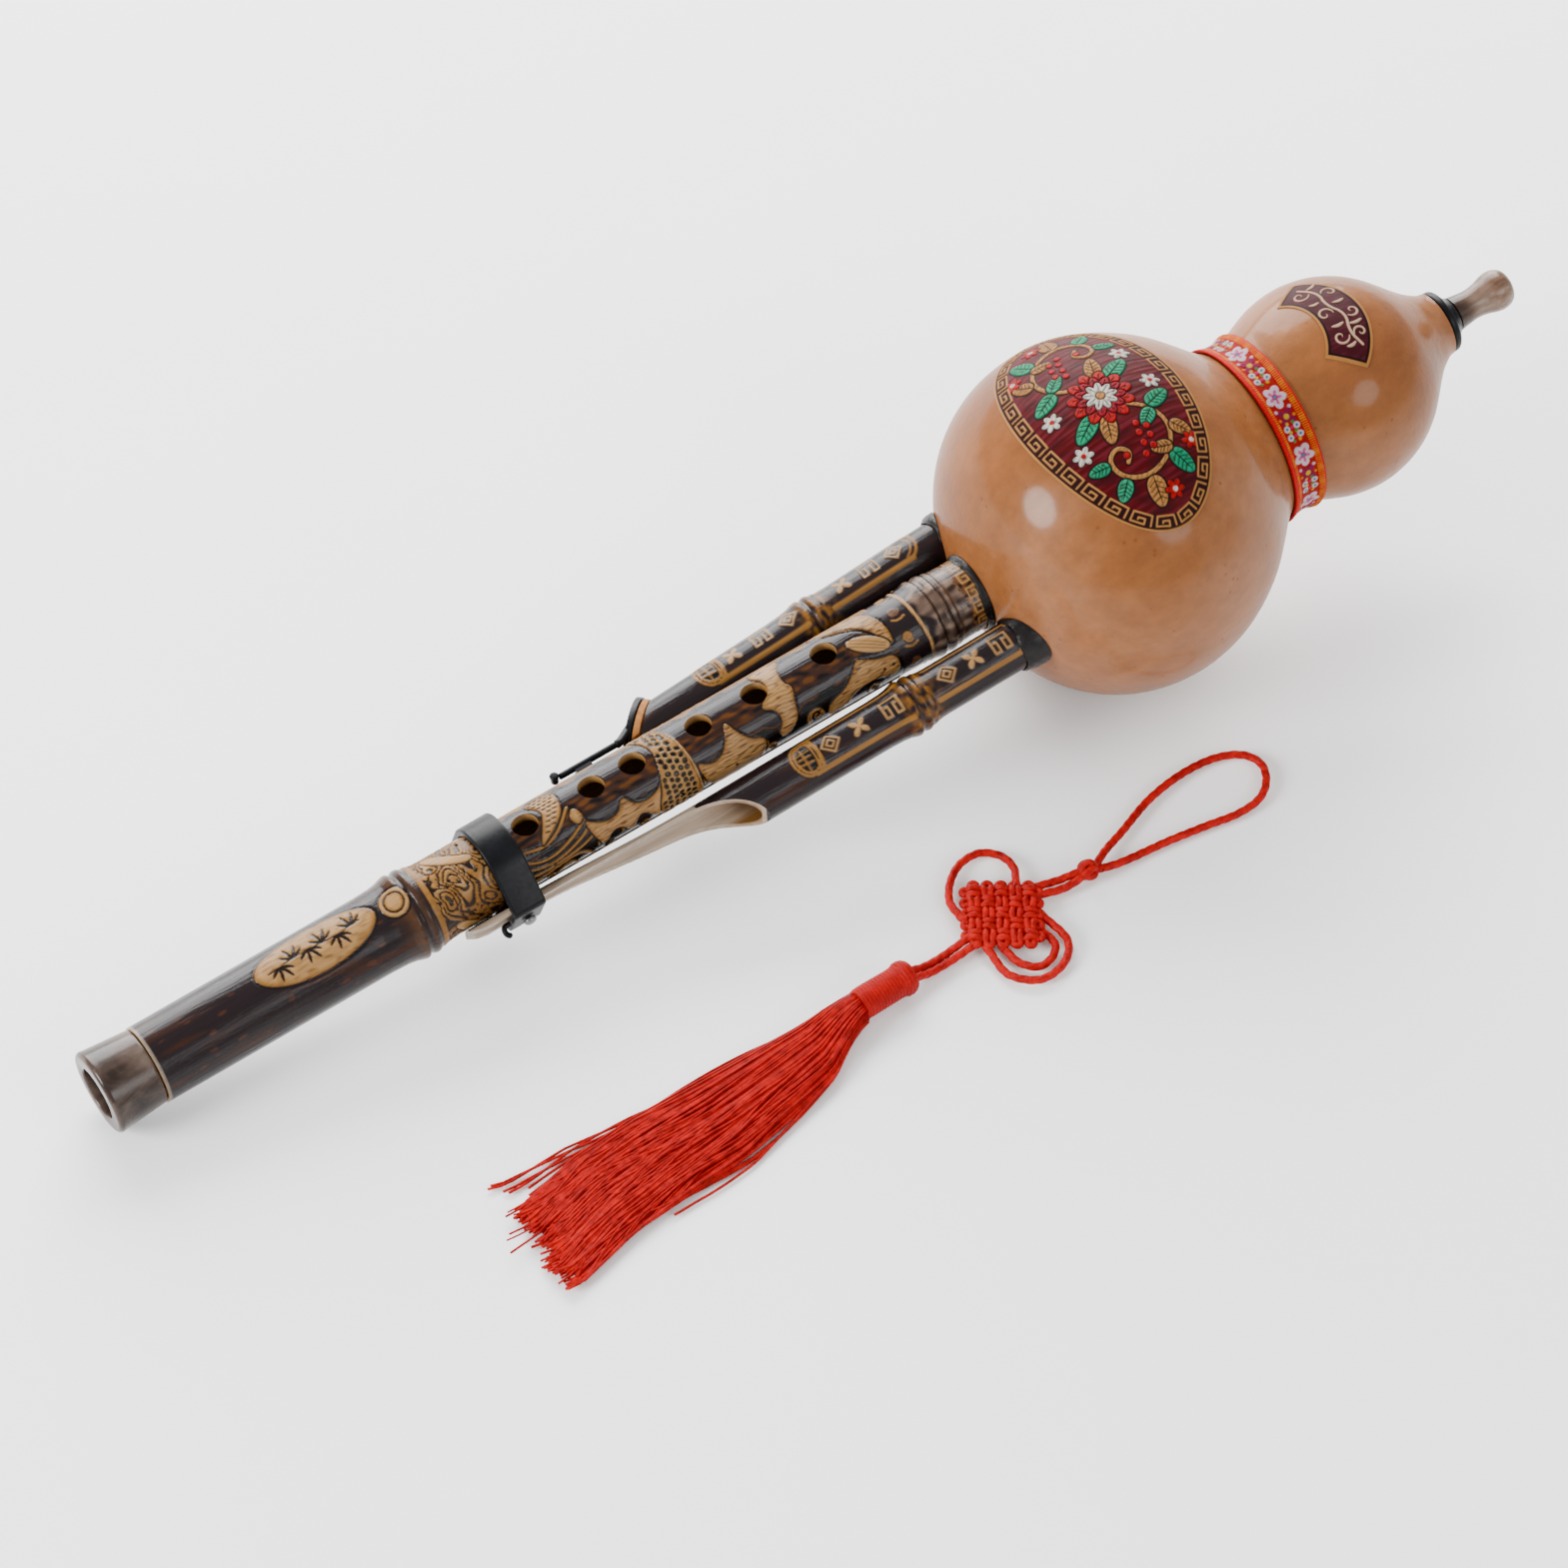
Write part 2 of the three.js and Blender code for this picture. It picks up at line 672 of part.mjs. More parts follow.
// Drones
function dronePipe(drone) {
  const nodes = nodeShares.map((share) => drone.nodeStation + droneNodeWidth * share);
  const lead = tongueStations();
  const outerRadius = (x) => droneRadius + droneNodeRise * bump(x, drone.nodeStation, droneNodeWidth);
  const outer = toSolid(loft(droneRings(drone, [...lead, ...nodes, droneInnerEnd], outerRadius)));
  const boreStations = [tongueTip - cutOverrun, ...lead.slice(1), droneInnerEnd + cutOverrun];
  const bore = toSolid(loft(droneRings(drone, boreStations, () => droneBore)));
  let pipe = outer.subtract(bore).subtract(mouthCutter(drone));
  const seat = toGeometry(reedSeat(droneRadius, droneReed)).applyMatrix4(droneLean(drone));
  pipe = pipe.subtract(toSolid(seat));
  if (drone === nearDrone) pipe = pipe.subtract(screwHole());
  return toGeometry(pipe);
}

// Clamp band: one loop drawn round the melody pipe and both tongues
function bandDiscs() {
  const x = bandStart + bandWidth / 2;
  const discs = [[0, 0, lowerPipeRadius]];
  const floor = tongueThickness - droneRadius;
  const halfChord = Math.sqrt(droneRadius ** 2 - floor ** 2);
  for (const drone of [nearDrone, farDrone]) {
    for (const up of [-halfChord, halfChord]) {
      const corner = dronePoint(droneFrame(drone, x), x, floor, up);
      discs.push([corner.y, corner.z, 0]);
    }
  }
  return discs;
}

function hull(discs, growth) {
  const points = discs.flatMap(([y, z, radius]) => {
    const round = [];
    for (let i = 0; i < droneSides; i += 1) {
      const angle = (2 * Math.PI * i) / droneSides;
      const r = radius + growth;
      round.push(new THREE.Vector2(y + r * Math.cos(angle), z + r * Math.sin(angle)));
    }
    return round;
  });
  points.sort((a, b) => a.x - b.x || a.y - b.y);
  const half = (list) => {
    const chain = [];
    for (const p of list) {
      while (chain.length > 1 && turns(chain[chain.length - 2], chain[chain.length - 1], p) <= 0) {
        chain.pop();
      }
      chain.push(p);
    }
    return chain.slice(0, -1);
  };
  return [...half(points), ...half([...points].reverse())];
}

function turns(a, b, c) {
  return (b.x - a.x) * (c.y - a.y) - (b.y - a.y) * (c.x - a.x);
}

// Turns a shape drawn across the instrument into a length along it
function alongAxis(geometry, x) {
  const basis = new THREE.Matrix4().makeBasis(
    new THREE.Vector3(0, 1, 0), new THREE.Vector3(0, 0, 1), new THREE.Vector3(1, 0, 0),
  );
  return geometry.applyMatrix4(basis).translate(x, 0, 0);
}

function clampBand() {
  const discs = bandDiscs();
  const outline = new THREE.Shape(hull(discs, clearance + bandThickness));
  outline.holes.push(new THREE.Path(hull(discs, clearance)));
  const geometry = new THREE.ExtrudeGeometry(outline, {
    depth: bandWidth - 2 * bandBevel,
    bevelEnabled: true,
    bevelThickness: bandBevel,
    bevelSize: bandBevel,
    bevelOffset: -bandBevel,
    bevelSegments: 1,
  });
  const band = toSolid(alongAxis(geometry, bandStart + bandBevel));
  return toGeometry(band.subtract(screwHole()));
}

// Places a piece made along +X so that it points outward from the near tongue at the band
function onNearTongue(geometry, x, out, up) {
  const frame = droneFrame(nearDrone, x);
  const origin = dronePoint(frame, x, out, up);
  const outward = droneShift(frame, 0, 1, 0);
  const turn = new THREE.Quaternion().setFromUnitVectors(new THREE.Vector3(1, 0, 0), outward);
  return geometry.applyQuaternion(turn).translate(origin.x, origin.y, origin.z);
}

function screwSeat() {
  return tongueThickness - droneRadius + 2 * clearance + bandThickness;
}

function screwHole() {
  const reach = screwLength + clearance;
  const hole = rod(screwShankRadius + clearance, -reach, cutOverrun, 0, 0, smallSides);
  return toSolid(onNearTongue(hole, bandStart + bandWidth / 2, screwSeat(), 0));
}

function bandScrew() {
  const screw = revolve([
    [-screwLength, 0], [-screwLength, screwShankRadius], [0, screwShankRadius],
    [0, screwHeadRadius], [screwHeadHeight / 2, screwHeadRadius],
    [screwHeadHeight, screwHeadRadius / 2], [screwHeadHeight, 0],
  ], smallSides);
  return toGeometry(toSolid(onNearTongue(screw, bandStart + bandWidth / 2, screwSeat(), 0)));
}

const hookShares = [[0, 0], [-0.9, 0.1], [-1.1, 0.9], [-0.6, 1.5]];

function tasselHook() {
  const out = screwSeat() - clearance - bandThickness / 2;
  const route = hookShares.map(([along, rise]) => {
    const x = bandStart - clearance + along * hookRadius;
    const frame = droneFrame(nearDrone, bandStart);
    return dronePoint(frame, x, out + rise * hookRadius, 0).toArray();
  });
  return toGeometry(toSolid(sweep(route, hookWire, smallSteps)));
}

// Seals where the pipes enter the gourd, each cut to the gourd's face
function gourdFace(distance) {
  const share = 1 - (distance / bulbRadius) ** bulbPower;
  return bulbCentre - bulbLowerLength * share ** (1 / bulbPower);
}

function seal(radius, distance, length, wall) {
  const start = gourdFace(distance) - length;
  const end = gourdFace(distance + radius + wall) + wall;
  const hole = radius + clearance;
  return ring([
    [start, hole], [start, hole + wall / 3], [start + length / 2, hole + wall / 2],
    [start + length, hole + wall], [end, hole + wall], [end, hole],
  ], droneSides);
}

function melodySeal() {
  const geometry = seal(upperPipeRadius, 0, sealWall, melodySealWall);
  return toGeometry(toSolid(geometry).subtract(gourdSkin()));
}

function droneSeal(drone, length) {
  const distance = Math.hypot(...drone.end);
  const geometry = seal(droneRadius, distance, length, sealWall).applyMatrix4(droneLean(drone));
  return toGeometry(toSolid(geometry).subtract(gourdSkin()));
}

// Valve of the far drone: pad and cork parallel to the slanted mouth, rod, knob and guide
function mouthMiddle() {
  return farDrone.cutStart + (droneRadius - tongueThickness) / Math.tan(valveSlant);
}

function padDisc(thickness, offset, margin) {
  const outline = new THREE.Shape();
  const [long, wide] = [droneRadius / Math.sin(valveSlant) + margin, droneRadius + margin];
  outline.absellipse(0, 0, long, wide, 0, 2 * Math.PI);
  const settings = { depth: thickness, bevelEnabled: false, curveSegments: 12 };
  const disc = new THREE.ExtrudeGeometry(outline, settings);
  const middle = mouthMiddle();
  const frame = droneFrame(farDrone, middle);
  const origin = dronePoint(frame, middle, 0, 0);
  const [slope, rise] = [Math.cos(valveSlant), Math.sin(valveSlant)];
  const along = droneShift(frame, slope, rise, 0);
  const up = droneShift(frame, 0, 0, 1);
  const normal = droneShift(frame, -rise, slope, 0);
  const basis = new THREE.Matrix4().makeBasis(along, up, normal).setPosition(origin);
  return toSolid(disc.translate(0, 0, offset).applyMatrix4(basis)).subtract(toeCutter(frame, middle));
}

// A direction given along the axis, outward and upward in a drone's frame
function droneShift(frame, along, out, up) {
  return dronePoint(frame, along, out, up).sub(dronePoint(frame, 0, 0, 0));
}

function toeCutter(frame, x) {
  const top = tongueThickness - droneRadius + padToeGap;
  const reach = 3 * droneRadius;
  const corners = [[-reach, -reach], [top, -reach], [top, reach], [-reach, reach]];
  const ends = [x - reach, x + reach].map((station) => (
    corners.map(([out, up]) => dronePoint(frame, station, out, up))
  ));
  return toSolid(loft(ends));
}

function rodCentre() {
  return [rodDistance * Math.cos(rodTurn), rodDistance * Math.sin(rodTurn)];
}

// Where the pad's back lies over a given outward offset, and where the arm to the rod starts
function padBack(out, share) {
  const stack = (corkGap + corkThickness + clearance + padThickness * share) / Math.sin(valveSlant);
  return mouthMiddle() + out / Math.tan(valveSlant) - stack;
}

function lugStart() {
  const [y, z] = rodCentre();
  const frame = droneFrame(farDrone, mouthMiddle());
  const out = (y - frame.y) * Math.cos(frame.turn) + (z - frame.z) * Math.sin(frame.turn);
  return padBack(out, 1) - lugLength;
}

const armEndShare = 0.75;

function valvePad() {
  const circle = (centre) => spread(0, 2 * Math.PI, smallSides).slice(1).map((angle) => {
    const spoke = new THREE.Vector3(0, lugRadius * Math.cos(angle), lugRadius * Math.sin(angle));
    return spoke.add(centre);
  });
  const start = lugStart();
  const armEnd = padBack(armOut, armEndShare);
  const arm = toSolid(loft([
    circle(new THREE.Vector3(start, ...rodCentre())),
    circle(new THREE.Vector3(start + lugLength / 2, ...rodCentre())),
    circle(dronePoint(droneFrame(farDrone, mouthMiddle()), armEnd, armOut, armUp)),
  ]));
  const disc = padDisc(padThickness, corkGap + corkThickness + clearance, padMargin);
  return toGeometry(disc.add(arm));
}

function valveCork() {
  return toGeometry(padDisc(corkThickness, corkGap, 0));
}

function valveRod() {
  const end = lugStart() - clearance;
  return rod(rodRadius, end - rodLength, end, ...rodCentre(), wireSides);
}

const knobStemShare = 0.8;
const knobShares = [[-1, 0], [-1, knobStemShare], [0.5, knobStemShare], [0.7, 1], [1, 0.7], [1, 0]];

function valveKnob() {
  const [y, z] = rodCentre();
  const x = lugStart() - 2 * clearance - rodLength - knobRadius * knobStemShare;
  const half = knobHeight / 2;
  const profile = knobShares.map(([along, out]) => [half * along, knobRadius * out]);
  return revolve(profile, wireSides).rotateY(-Math.PI / 2).translate(x, y, z + knobLift);
}

function valveGuide() {
  const [y, z] = rodCentre();
  const height = rodDistance - rodRadius / 2;
  const middle = guideStart + guideLength / 2;
  const saddle = block(guideLength, height, guideWidth, middle, height / 2, z + guideLift);
  const [from, to] = [guideStart - cutOverrun, guideStart + guideLength + cutOverrun];
  const pipe = rod(upperPipeRadius + clearance, from, to, 0, 0, turnedSides);
  const groove = rod(rodRadius + clearance, from, to, y, z);
  return toGeometry(toSolid(saddle).subtract(toSolid(pipe)).subtract(toSolid(groove)));
}

// Tassel
function buttonKnot() {
  const [x, y] = buttonPlace;
  const knot = new THREE.SphereGeometry(buttonKnotRadius, holeSides, wireSides);
  return toGeometry(toSolid(knot.translate(x, y, buttonKnotRadius)));
}

function knotBody() {
  const half = (knotPasses * knotPitch) / 2;
  const span = 2 * half - knotPitch + knotPassRadius;
  let body = toSolid(block(span, span, knotHeight - knotPassRadius * 2, 0, 0, knotHeight / 2));
  for (let layer = 0; layer < 2; layer += 1) {
    const z = layer ? knotHeight - knotPassRadius : knotPassRadius;
    for (let i = 0; i < knotPasses; i += 1) {
      const offset = knotPitch * (i - (knotPasses - 1) / 2);
      const pass = new THREE.CapsuleGeometry(knotPassRadius, span, 1, knotSides);
      pass.rotateY(Math.PI / knotSides);
      if (layer) pass.rotateZ(Math.PI / 2).translate(0, offset, z);
      else pass.translate(offset, 0, z);
      body = body.add(toSolid(pass));
    }
  }
  return toGeometry(body).rotateZ(knotTurn).translate(...knotPlace, 0);
}

const headBulgeShare = 1.08;
const headShares = [
  [0, 0], [0, 0.72], [0.05, 0.96], [0.12, headBulgeShare], [0.2, headBulgeShare], [0.26, 0.97],
  [0.94, 0.97], [1, 0.9], [1, 0],
];

function tasselHead() {
  const profile = headShares.map(([along, out]) => [headLength * along, headRadius * out]);
  const rest = headRadius * headBulgeShare * Math.cos(Math.PI / smallSides);
  const head = revolve(profile, smallSides).rotateZ(Math.PI + headTurn);
  return head.translate(...headStart, rest);
}

const fringeFlatShare = 0.75;

function tasselFringe() {
  const steps = fringeFlutes * 3;
  const rings = fringeStations.map(([x, y, halfWidth, halfHeight]) => {
    const points = [];
    for (let j = 0; j < steps; j += 1) {
      const angle = (2 * Math.PI * j) / steps;
      const wave = (Math.cos(fringeFlutes * angle) - 1) / 2;
      const flute = 1 + (fringeFluteDepth / halfHeight) * wave;
      const up = Math.max(Math.sin(angle) * flute, -fringeFlatShare) + fringeFlatShare;
      const across = halfWidth * flute * Math.cos(angle);
      points.push(new THREE.Vector3(x, y + across, halfHeight * up));
    }
    return points;
  });
  return toGeometry(toSolid(loft(rings)));
}

// Colours and finishes
const lacquer = { color: 0x3a2a28, roughness: 0.35, metalness: 0 };
const gourdSkinFinish = { color: 0xb87a4b, roughness: 0.3, metalness: 0 };
const horn = { color: 0x8a7a70, roughness: 0.25, metalness: 0 };
const blackPlastic = { color: 0x1c1d20, roughness: 0.4, metalness: 0 };
const brass = { color: 0xc9a04e, roughness: 0.35, metalness: 1 };
const nickel = { color: 0xc8cccd, roughness: 0.3, metalness: 1 };
const corkFinish = { color: 0xc58555, roughness: 0.8, metalness: 0 };
const wax = { color: 0x2a2220, roughness: 0.5, metalness: 0 };
const braid = { color: 0xe0452a, roughness: 0.8, metalness: 0 };
const redCord = { color: 0xd8201c, roughness: 0.7, metalness: 0 };

function piece(name, geometry, finish) {
  const mesh = new THREE.Mesh(geometry, new THREE.MeshStandardMaterial(finish));
  mesh.name = name;
  return mesh;
}

// The instrument, built along its own axis
const instrument = new THREE.Group();
instrument.add(
  piece('gourd_shell', gourdShell(), gourdSkinFinish),
  piece('waist_ribbon', waistRibbon(), braid),
  piece('mouthpiece_collar', mouthpieceCollar(), blackPlastic),
  piece('mouthpiece', mouthpiece(), horn),
  piece('melody_pipe', melodyPipe(), lacquer),
  piece('end_ferrule', endFerrule(), horn),
  piece('near_drone_pipe', dronePipe(nearDrone), lacquer),
  piece('far_drone_pipe', dronePipe(farDrone), lacquer),
  piece('clamp_band', clampBand(), blackPlastic),
  piece('band_screw', bandScrew(), nickel),
  piece('tassel_hook', tasselHook(), blackPlastic),
  piece('melody_seal', melodySeal(), wax),
  piece('near_drone_seal', droneSeal(nearDrone, sealLength), wax),
  piece('far_drone_seal', droneSeal(farDrone, sealWall), wax),
  piece('valve_pad', valvePad(), blackPlastic),
  piece('valve_cork', valveCork(), corkFinish),
  piece('valve_rod', valveRod(), blackPlastic),
  piece('valve_knob', valveKnob(), blackPlastic),
  piece('valve_guide', valveGuide(), blackPlastic),
  piece('melody_reed_plate', reedPlate(upperPipeRadius, melodyReed), brass),
  piece('melody_reed_tongue', reedTongue(upperPipeRadius, melodyReed), brass),
  piece('melody_end_plug', endPlug(upperPipeRadius, pipeBore, pipeInnerEnd), wax),
);
for (const [name, drone] of [['near', nearDrone], ['far', farDrone]]) {
  const lean = droneLean(drone);
  instrument.add(
    piece(`${name}_reed_plate`, reedPlate(droneRadius, droneReed).applyMatrix4(lean), brass),
    piece(`${name}_reed_tongue`, reedTongue(droneRadius, droneReed).applyMatrix4(lean), brass),
    piece(`${name}_end_plug`, endPlug(droneRadius, droneBore, droneInnerEnd).applyMatrix4(lean), wax),
  );
}

// It lies on the table on its ferrule and its big bulb, finger holes up
function restingTilt() {
  let tilt = 0;
  for (const x of gourdStations(0, gourdOuterRows)) {
    const facet = Math.cos(Math.PI / turnedSides);
    const rise = (gourdRadius(x) - ferruleRadius) * facet;
    tilt = Math.max(tilt, Math.atan2(rise, x - ferruleEdge));
  }
  return tilt;
}
instrument.rotation.y = -restingTilt();
const box = new THREE.Box3().setFromObject(instrument, true);
const middle = box.getCenter(new THREE.Vector3());
instrument.position.set(-middle.x, -middle.y, -box.min.z);

// The tassel, laid beside it on the same surface
const tassel = new THREE.Group();
const loopSteps = 28;
const earSteps = 11;
const neckSteps = 3;
const tailSteps = smallSteps;
tassel.add(
  piece('hanging_loop', sweep(loopRoute, cordRadius, loopSteps), redCord),
  piece('button_knot', buttonKnot(), redCord),
  piece('knot_body', knotBody(), redCord),
  piece('ring_ear', sweep(ringEarRoute, cordRadius, earSteps), redCord),
  piece('inner_ear', sweep(innerEarRoute, cordRadius, earSteps), redCord),
  piece('outer_ear', sweep(outerEarRoute, cordRadius, earSteps), redCord),
  piece('tassel_head', tasselHead(), redCord),
  piece('tassel_fringe', tasselFringe(), redCord),
);
neckCordRoutes.forEach((route, i) => {
  tassel.add(piece(`neck_cord_${i + 1}`, sweep(route, cordRadius, neckSteps), redCord));
});
tailCordRoutes.forEach((route, i) => {
  tassel.add(piece(`tail_cord_${i + 1}`, sweep(route, cordRadius, tailSteps), redCord));
});

const group = new THREE.Group();
group.name = 'hulusi';
group.add(instrument, tassel);

export default group;
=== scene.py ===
# A hulusi lying on a pale floor, with its red knotted tassel beside it.
# Every piece is built from numbers in millimetres along the instrument's own axis: x runs from the
# lower end face to the mouthpiece, and the turn round the axis is counted from the finger holes
# towards the camera.
import math

import bpy
import numpy as np
from mathutils import Matrix, Vector


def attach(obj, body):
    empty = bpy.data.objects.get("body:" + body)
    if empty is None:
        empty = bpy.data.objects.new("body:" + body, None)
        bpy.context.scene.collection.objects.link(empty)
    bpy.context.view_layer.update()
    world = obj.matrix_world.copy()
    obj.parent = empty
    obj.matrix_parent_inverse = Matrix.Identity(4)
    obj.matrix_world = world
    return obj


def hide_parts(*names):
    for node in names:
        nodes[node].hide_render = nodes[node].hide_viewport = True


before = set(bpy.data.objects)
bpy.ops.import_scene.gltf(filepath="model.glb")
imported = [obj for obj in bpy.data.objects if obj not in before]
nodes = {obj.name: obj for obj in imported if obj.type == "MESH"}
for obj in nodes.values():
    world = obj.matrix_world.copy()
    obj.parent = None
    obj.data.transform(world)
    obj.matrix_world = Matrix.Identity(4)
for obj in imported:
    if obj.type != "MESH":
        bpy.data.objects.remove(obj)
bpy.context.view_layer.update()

# how the instrument lies: its tilt in radians and its lower end's place in millimetres
TILT = 0.11768142
SHIFT = (-230.81493, 0.0, 11.99174)


def place(points):
    """Instrument millimetres to metres in the part's frame."""
    p = np.asarray(points, float)
    c, s = math.cos(TILT), math.sin(TILT)
    x = p[..., 0] * c - p[..., 2] * s + SHIFT[0]
    z = p[..., 0] * s + p[..., 2] * c + SHIFT[2]
    return np.stack([x, p[..., 1], z], -1) / 1000


def turn_back(co):
    """Metres in the part's frame back to instrument millimetres."""
    p = np.asarray(co, float) * 1000 - np.array(SHIFT)
    c, s = math.cos(TILT), math.sin(TILT)
    return np.stack([p[..., 0] * c + p[..., 2] * s, p[..., 1], p[..., 2] * c - p[..., 0] * s], -1)


# ---------------------------------------------------------------- camera
SENSOR = 36.0
IMAGE, FOCAL = 1569, 7270      # the photograph's side and the focal length, in its pixels
camera_data = bpy.data.cameras.new("view")
camera_data.sensor_width = SENSOR
camera_data.sensor_fit = "HORIZONTAL"
camera_data.lens = SENSOR * FOCAL / IMAGE
camera_data.clip_end = 20
camera = bpy.data.objects.new("view", camera_data)
bpy.context.scene.collection.objects.link(camera)
camera.matrix_world = Matrix((
    (0.836855, 0.411634, -0.360876, -0.742807),
    (-0.546840, 0.659069, -0.516327, -1.046424),
    (0.025305, 0.629432, 0.776643, 1.574034),
    (0, 0, 0, 1),
))
bpy.context.scene.camera = camera


# ---------------------------------------------------------------- mesh helpers
def circle(sides):
    return 2 * np.pi * np.arange(sides) / sides


def grid_faces(rows, cols, wrap_rows=False, wrap_cols=True, start=0):
    """Quads over a grid of points, row by row."""
    i = np.arange(rows if wrap_rows else rows - 1)
    j = np.arange(cols if wrap_cols else cols - 1)
    i, j = np.meshgrid(i, j, indexing="ij")
    right, down = (j + 1) % cols, (i + 1) % rows
    quads = np.stack([i * cols + j, i * cols + right, down * cols + right, down * cols + j], -1)
    return quads.reshape(-1, 4) + start


def build(name, co, faces):
    """A mesh object from metre coordinates and lists of equal-sided faces, faces turned out."""
    co = np.asarray(co, float).reshape(-1, 3)
    faces = [np.asarray(f, int) for f in faces if len(f)]
    volume = 0
    for f in faces:
        for k in range(1, f.shape[1] - 1):
            a, b, c = co[f[:, 0]], co[f[:, k]], co[f[:, k + 1]]
            volume += np.einsum("ij,ij->i", a, np.cross(b, c)).sum()
    if volume < 0:
        faces = [f[:, ::-1] for f in faces]
    loops = np.concatenate([f.ravel() for f in faces]).astype(np.int32)
    sizes = np.concatenate([np.full(len(f), f.shape[1]) for f in faces])
    mesh = bpy.data.meshes.new(name)
    mesh.vertices.add(len(co))
    mesh.vertices.foreach_set("co", co.astype(np.float32).ravel())
    mesh.loops.add(len(loops))
    mesh.loops.foreach_set("vertex_index", loops)
    mesh.polygons.add(len(sizes))
    mesh.polygons.foreach_set("loop_start", np.r_[0, np.cumsum(sizes)[:-1]].astype(np.int32))
    mesh.update(calc_edges=True)
    mesh.validate()
    mesh.shade_smooth()
    piece = bpy.data.objects.new(name, mesh)
    bpy.context.scene.collection.objects.link(piece)
    return piece


def lids(rows, sides):
    """One flat face over each end of a stack of rings."""
    return np.vstack([np.arange(sides)[::-1], (rows - 1) * sides + np.arange(sides)])


def capped(rings, hubs=None):
    """Points, quads and end triangles of a stack of rings, closed round a hub point at each end."""
    rings = np.asarray(rings, float)
    rows, sides = rings.shape[:2]
    if hubs is None:
        hubs = rings[[0, -1]].mean(1)
    j, last, hub = np.arange(sides), (rows - 1) * sides, rows * sides
    after = (j + 1) % sides
    ends = np.vstack([np.stack([after, j, np.full(sides, hub)], 1),
                      np.stack([last + j, last + after, np.full(sides, hub + 1)], 1)])
    return np.vstack([rings.reshape(-1, 3), hubs]), grid_faces(rows, sides), ends


def crease(piece, degrees=35):
    """Edges sharper than this stay sharp in the smooth shading."""
    piece.data.set_sharp_from_angle(angle=math.radians(degrees))


def turned(profile, sides, closed=True):
    """Points and faces of a profile of (station, radius) turned round the instrument's axis."""
    profile = np.asarray(profile, float)
    turn = circle(sides)
    x = np.repeat(profile[:, :1], sides, 1)
    y = -profile[:, 1:] * np.sin(turn)
    z = profile[:, 1:] * np.cos(turn)
    return np.stack([x, y, z], -1).reshape(-1, 3), grid_faces(len(profile), sides, closed)


def softened(corners, radius, steps=4):
    """A profile with the corners between its two ends rounded off."""
    corners = [np.array(c, float) for c in corners]
    out = [corners[0]]
    for before, corner, after in zip(corners, corners[1:], corners[2:]):
        a, b = before - corner, after - corner
        reach = min(radius, 0.45 * np.linalg.norm(a), 0.45 * np.linalg.norm(b))
        p, q = corner + a / np.linalg.norm(a) * reach, corner + b / np.linalg.norm(b) * reach
        for t in np.linspace(0, 1, steps + 1):
            out.append((1 - t) ** 2 * p + 2 * t * (1 - t) * corner + t * t * q)
    out.append(corners[-1])
    return np.array(out)


def route(points, spacing):
    """A smooth curve through the points, sampled at even spacing, and its length."""
    p = np.array(points, float)
    e = np.vstack([2 * p[0] - p[1], p, 2 * p[-1] - p[-2]])
    s = np.linspace(0, 1, 24, endpoint=False)[:, None]
    out = []
    for p0, p1, p2, p3 in zip(e, e[1:], e[2:], e[3:]):
        d0, d1, d2 = (max(np.linalg.norm(b - a) ** 0.5, 1e-4) for a, b in ((p0, p1), (p1, p2), (p2, p3)))
        t1 = ((p1 - p0) / d0 - (p2 - p0) / (d0 + d1) + (p2 - p1) / d1) * d1
        t2 = ((p2 - p1) / d1 - (p3 - p1) / (d1 + d2) + (p3 - p2) / d2) * d1
        out.append(p1 + t1 * s + (3 * p2 - 3 * p1 - 2 * t1 - t2) * s ** 2 + (2 * p1 - 2 * p2 + t1 + t2) * s ** 3)
    q = np.vstack(out + [p[-1:]])
    along = np.r_[0, np.cumsum(np.linalg.norm(np.diff(q, axis=0), axis=1))]
    at = np.linspace(0, along[-1], max(2, int(round(along[-1] / spacing))) + 1)
    return np.stack([np.interp(at, along, q[:, k]) for k in range(3)], 1), along[-1]


def carry(path):
    """Two unit vectors across a path, carried along it without twist."""
    tangent = np.gradient(path, axis=0)
    tangent /= np.linalg.norm(tangent, axis=1)[:, None]
    across = np.zeros_like(path)
    start = np.array([0, 0, 1.0]) if abs(tangent[0, 2]) < 0.9 else np.array([0, 1.0, 0])
    across[0] = start - start @ tangent[0] * tangent[0]
    across[0] /= np.linalg.norm(across[0])
    for i in range(1, len(path)):
        v = across[i - 1] - across[i - 1] @ tangent[i] * tangent[i]
        across[i] = v / np.linalg.norm(v)
    return across, np.cross(tangent, across)


def tube(path, radius, sides, relief=None):
    """Points and faces of a closed tube; radius is a number or one per point, relief adds to it."""
    a, b = carry(path)
    turn = circle(sides)
    r = np.broadcast_to(np.asarray(radius, float).reshape(-1, 1), (len(path), 1))
    if relief is not None:
        along = np.r_[0, np.cumsum(np.linalg.norm(np.diff(path, axis=0), axis=1))]
        r = r + relief(along[:, None], turn[None, :])
    r = np.broadcast_to(r, (len(path), sides))[..., None]
    rings = path[:, None] + r * (a[:, None] * np.cos(turn)[:, None] + b[:, None] * np.sin(turn)[:, None])
    return capped(rings, path[[0, -1]])


def join(parts):
    """Joins (points, quads, triangles) sets into one."""
    co, quads, caps, start = [], [], [], 0
    for points, q, t in parts:
        co.append(points)
        quads.append(q + start)
        caps.append(t + start)
        start += len(points)
    return np.vstack(co), np.vstack(quads), np.vstack(caps)


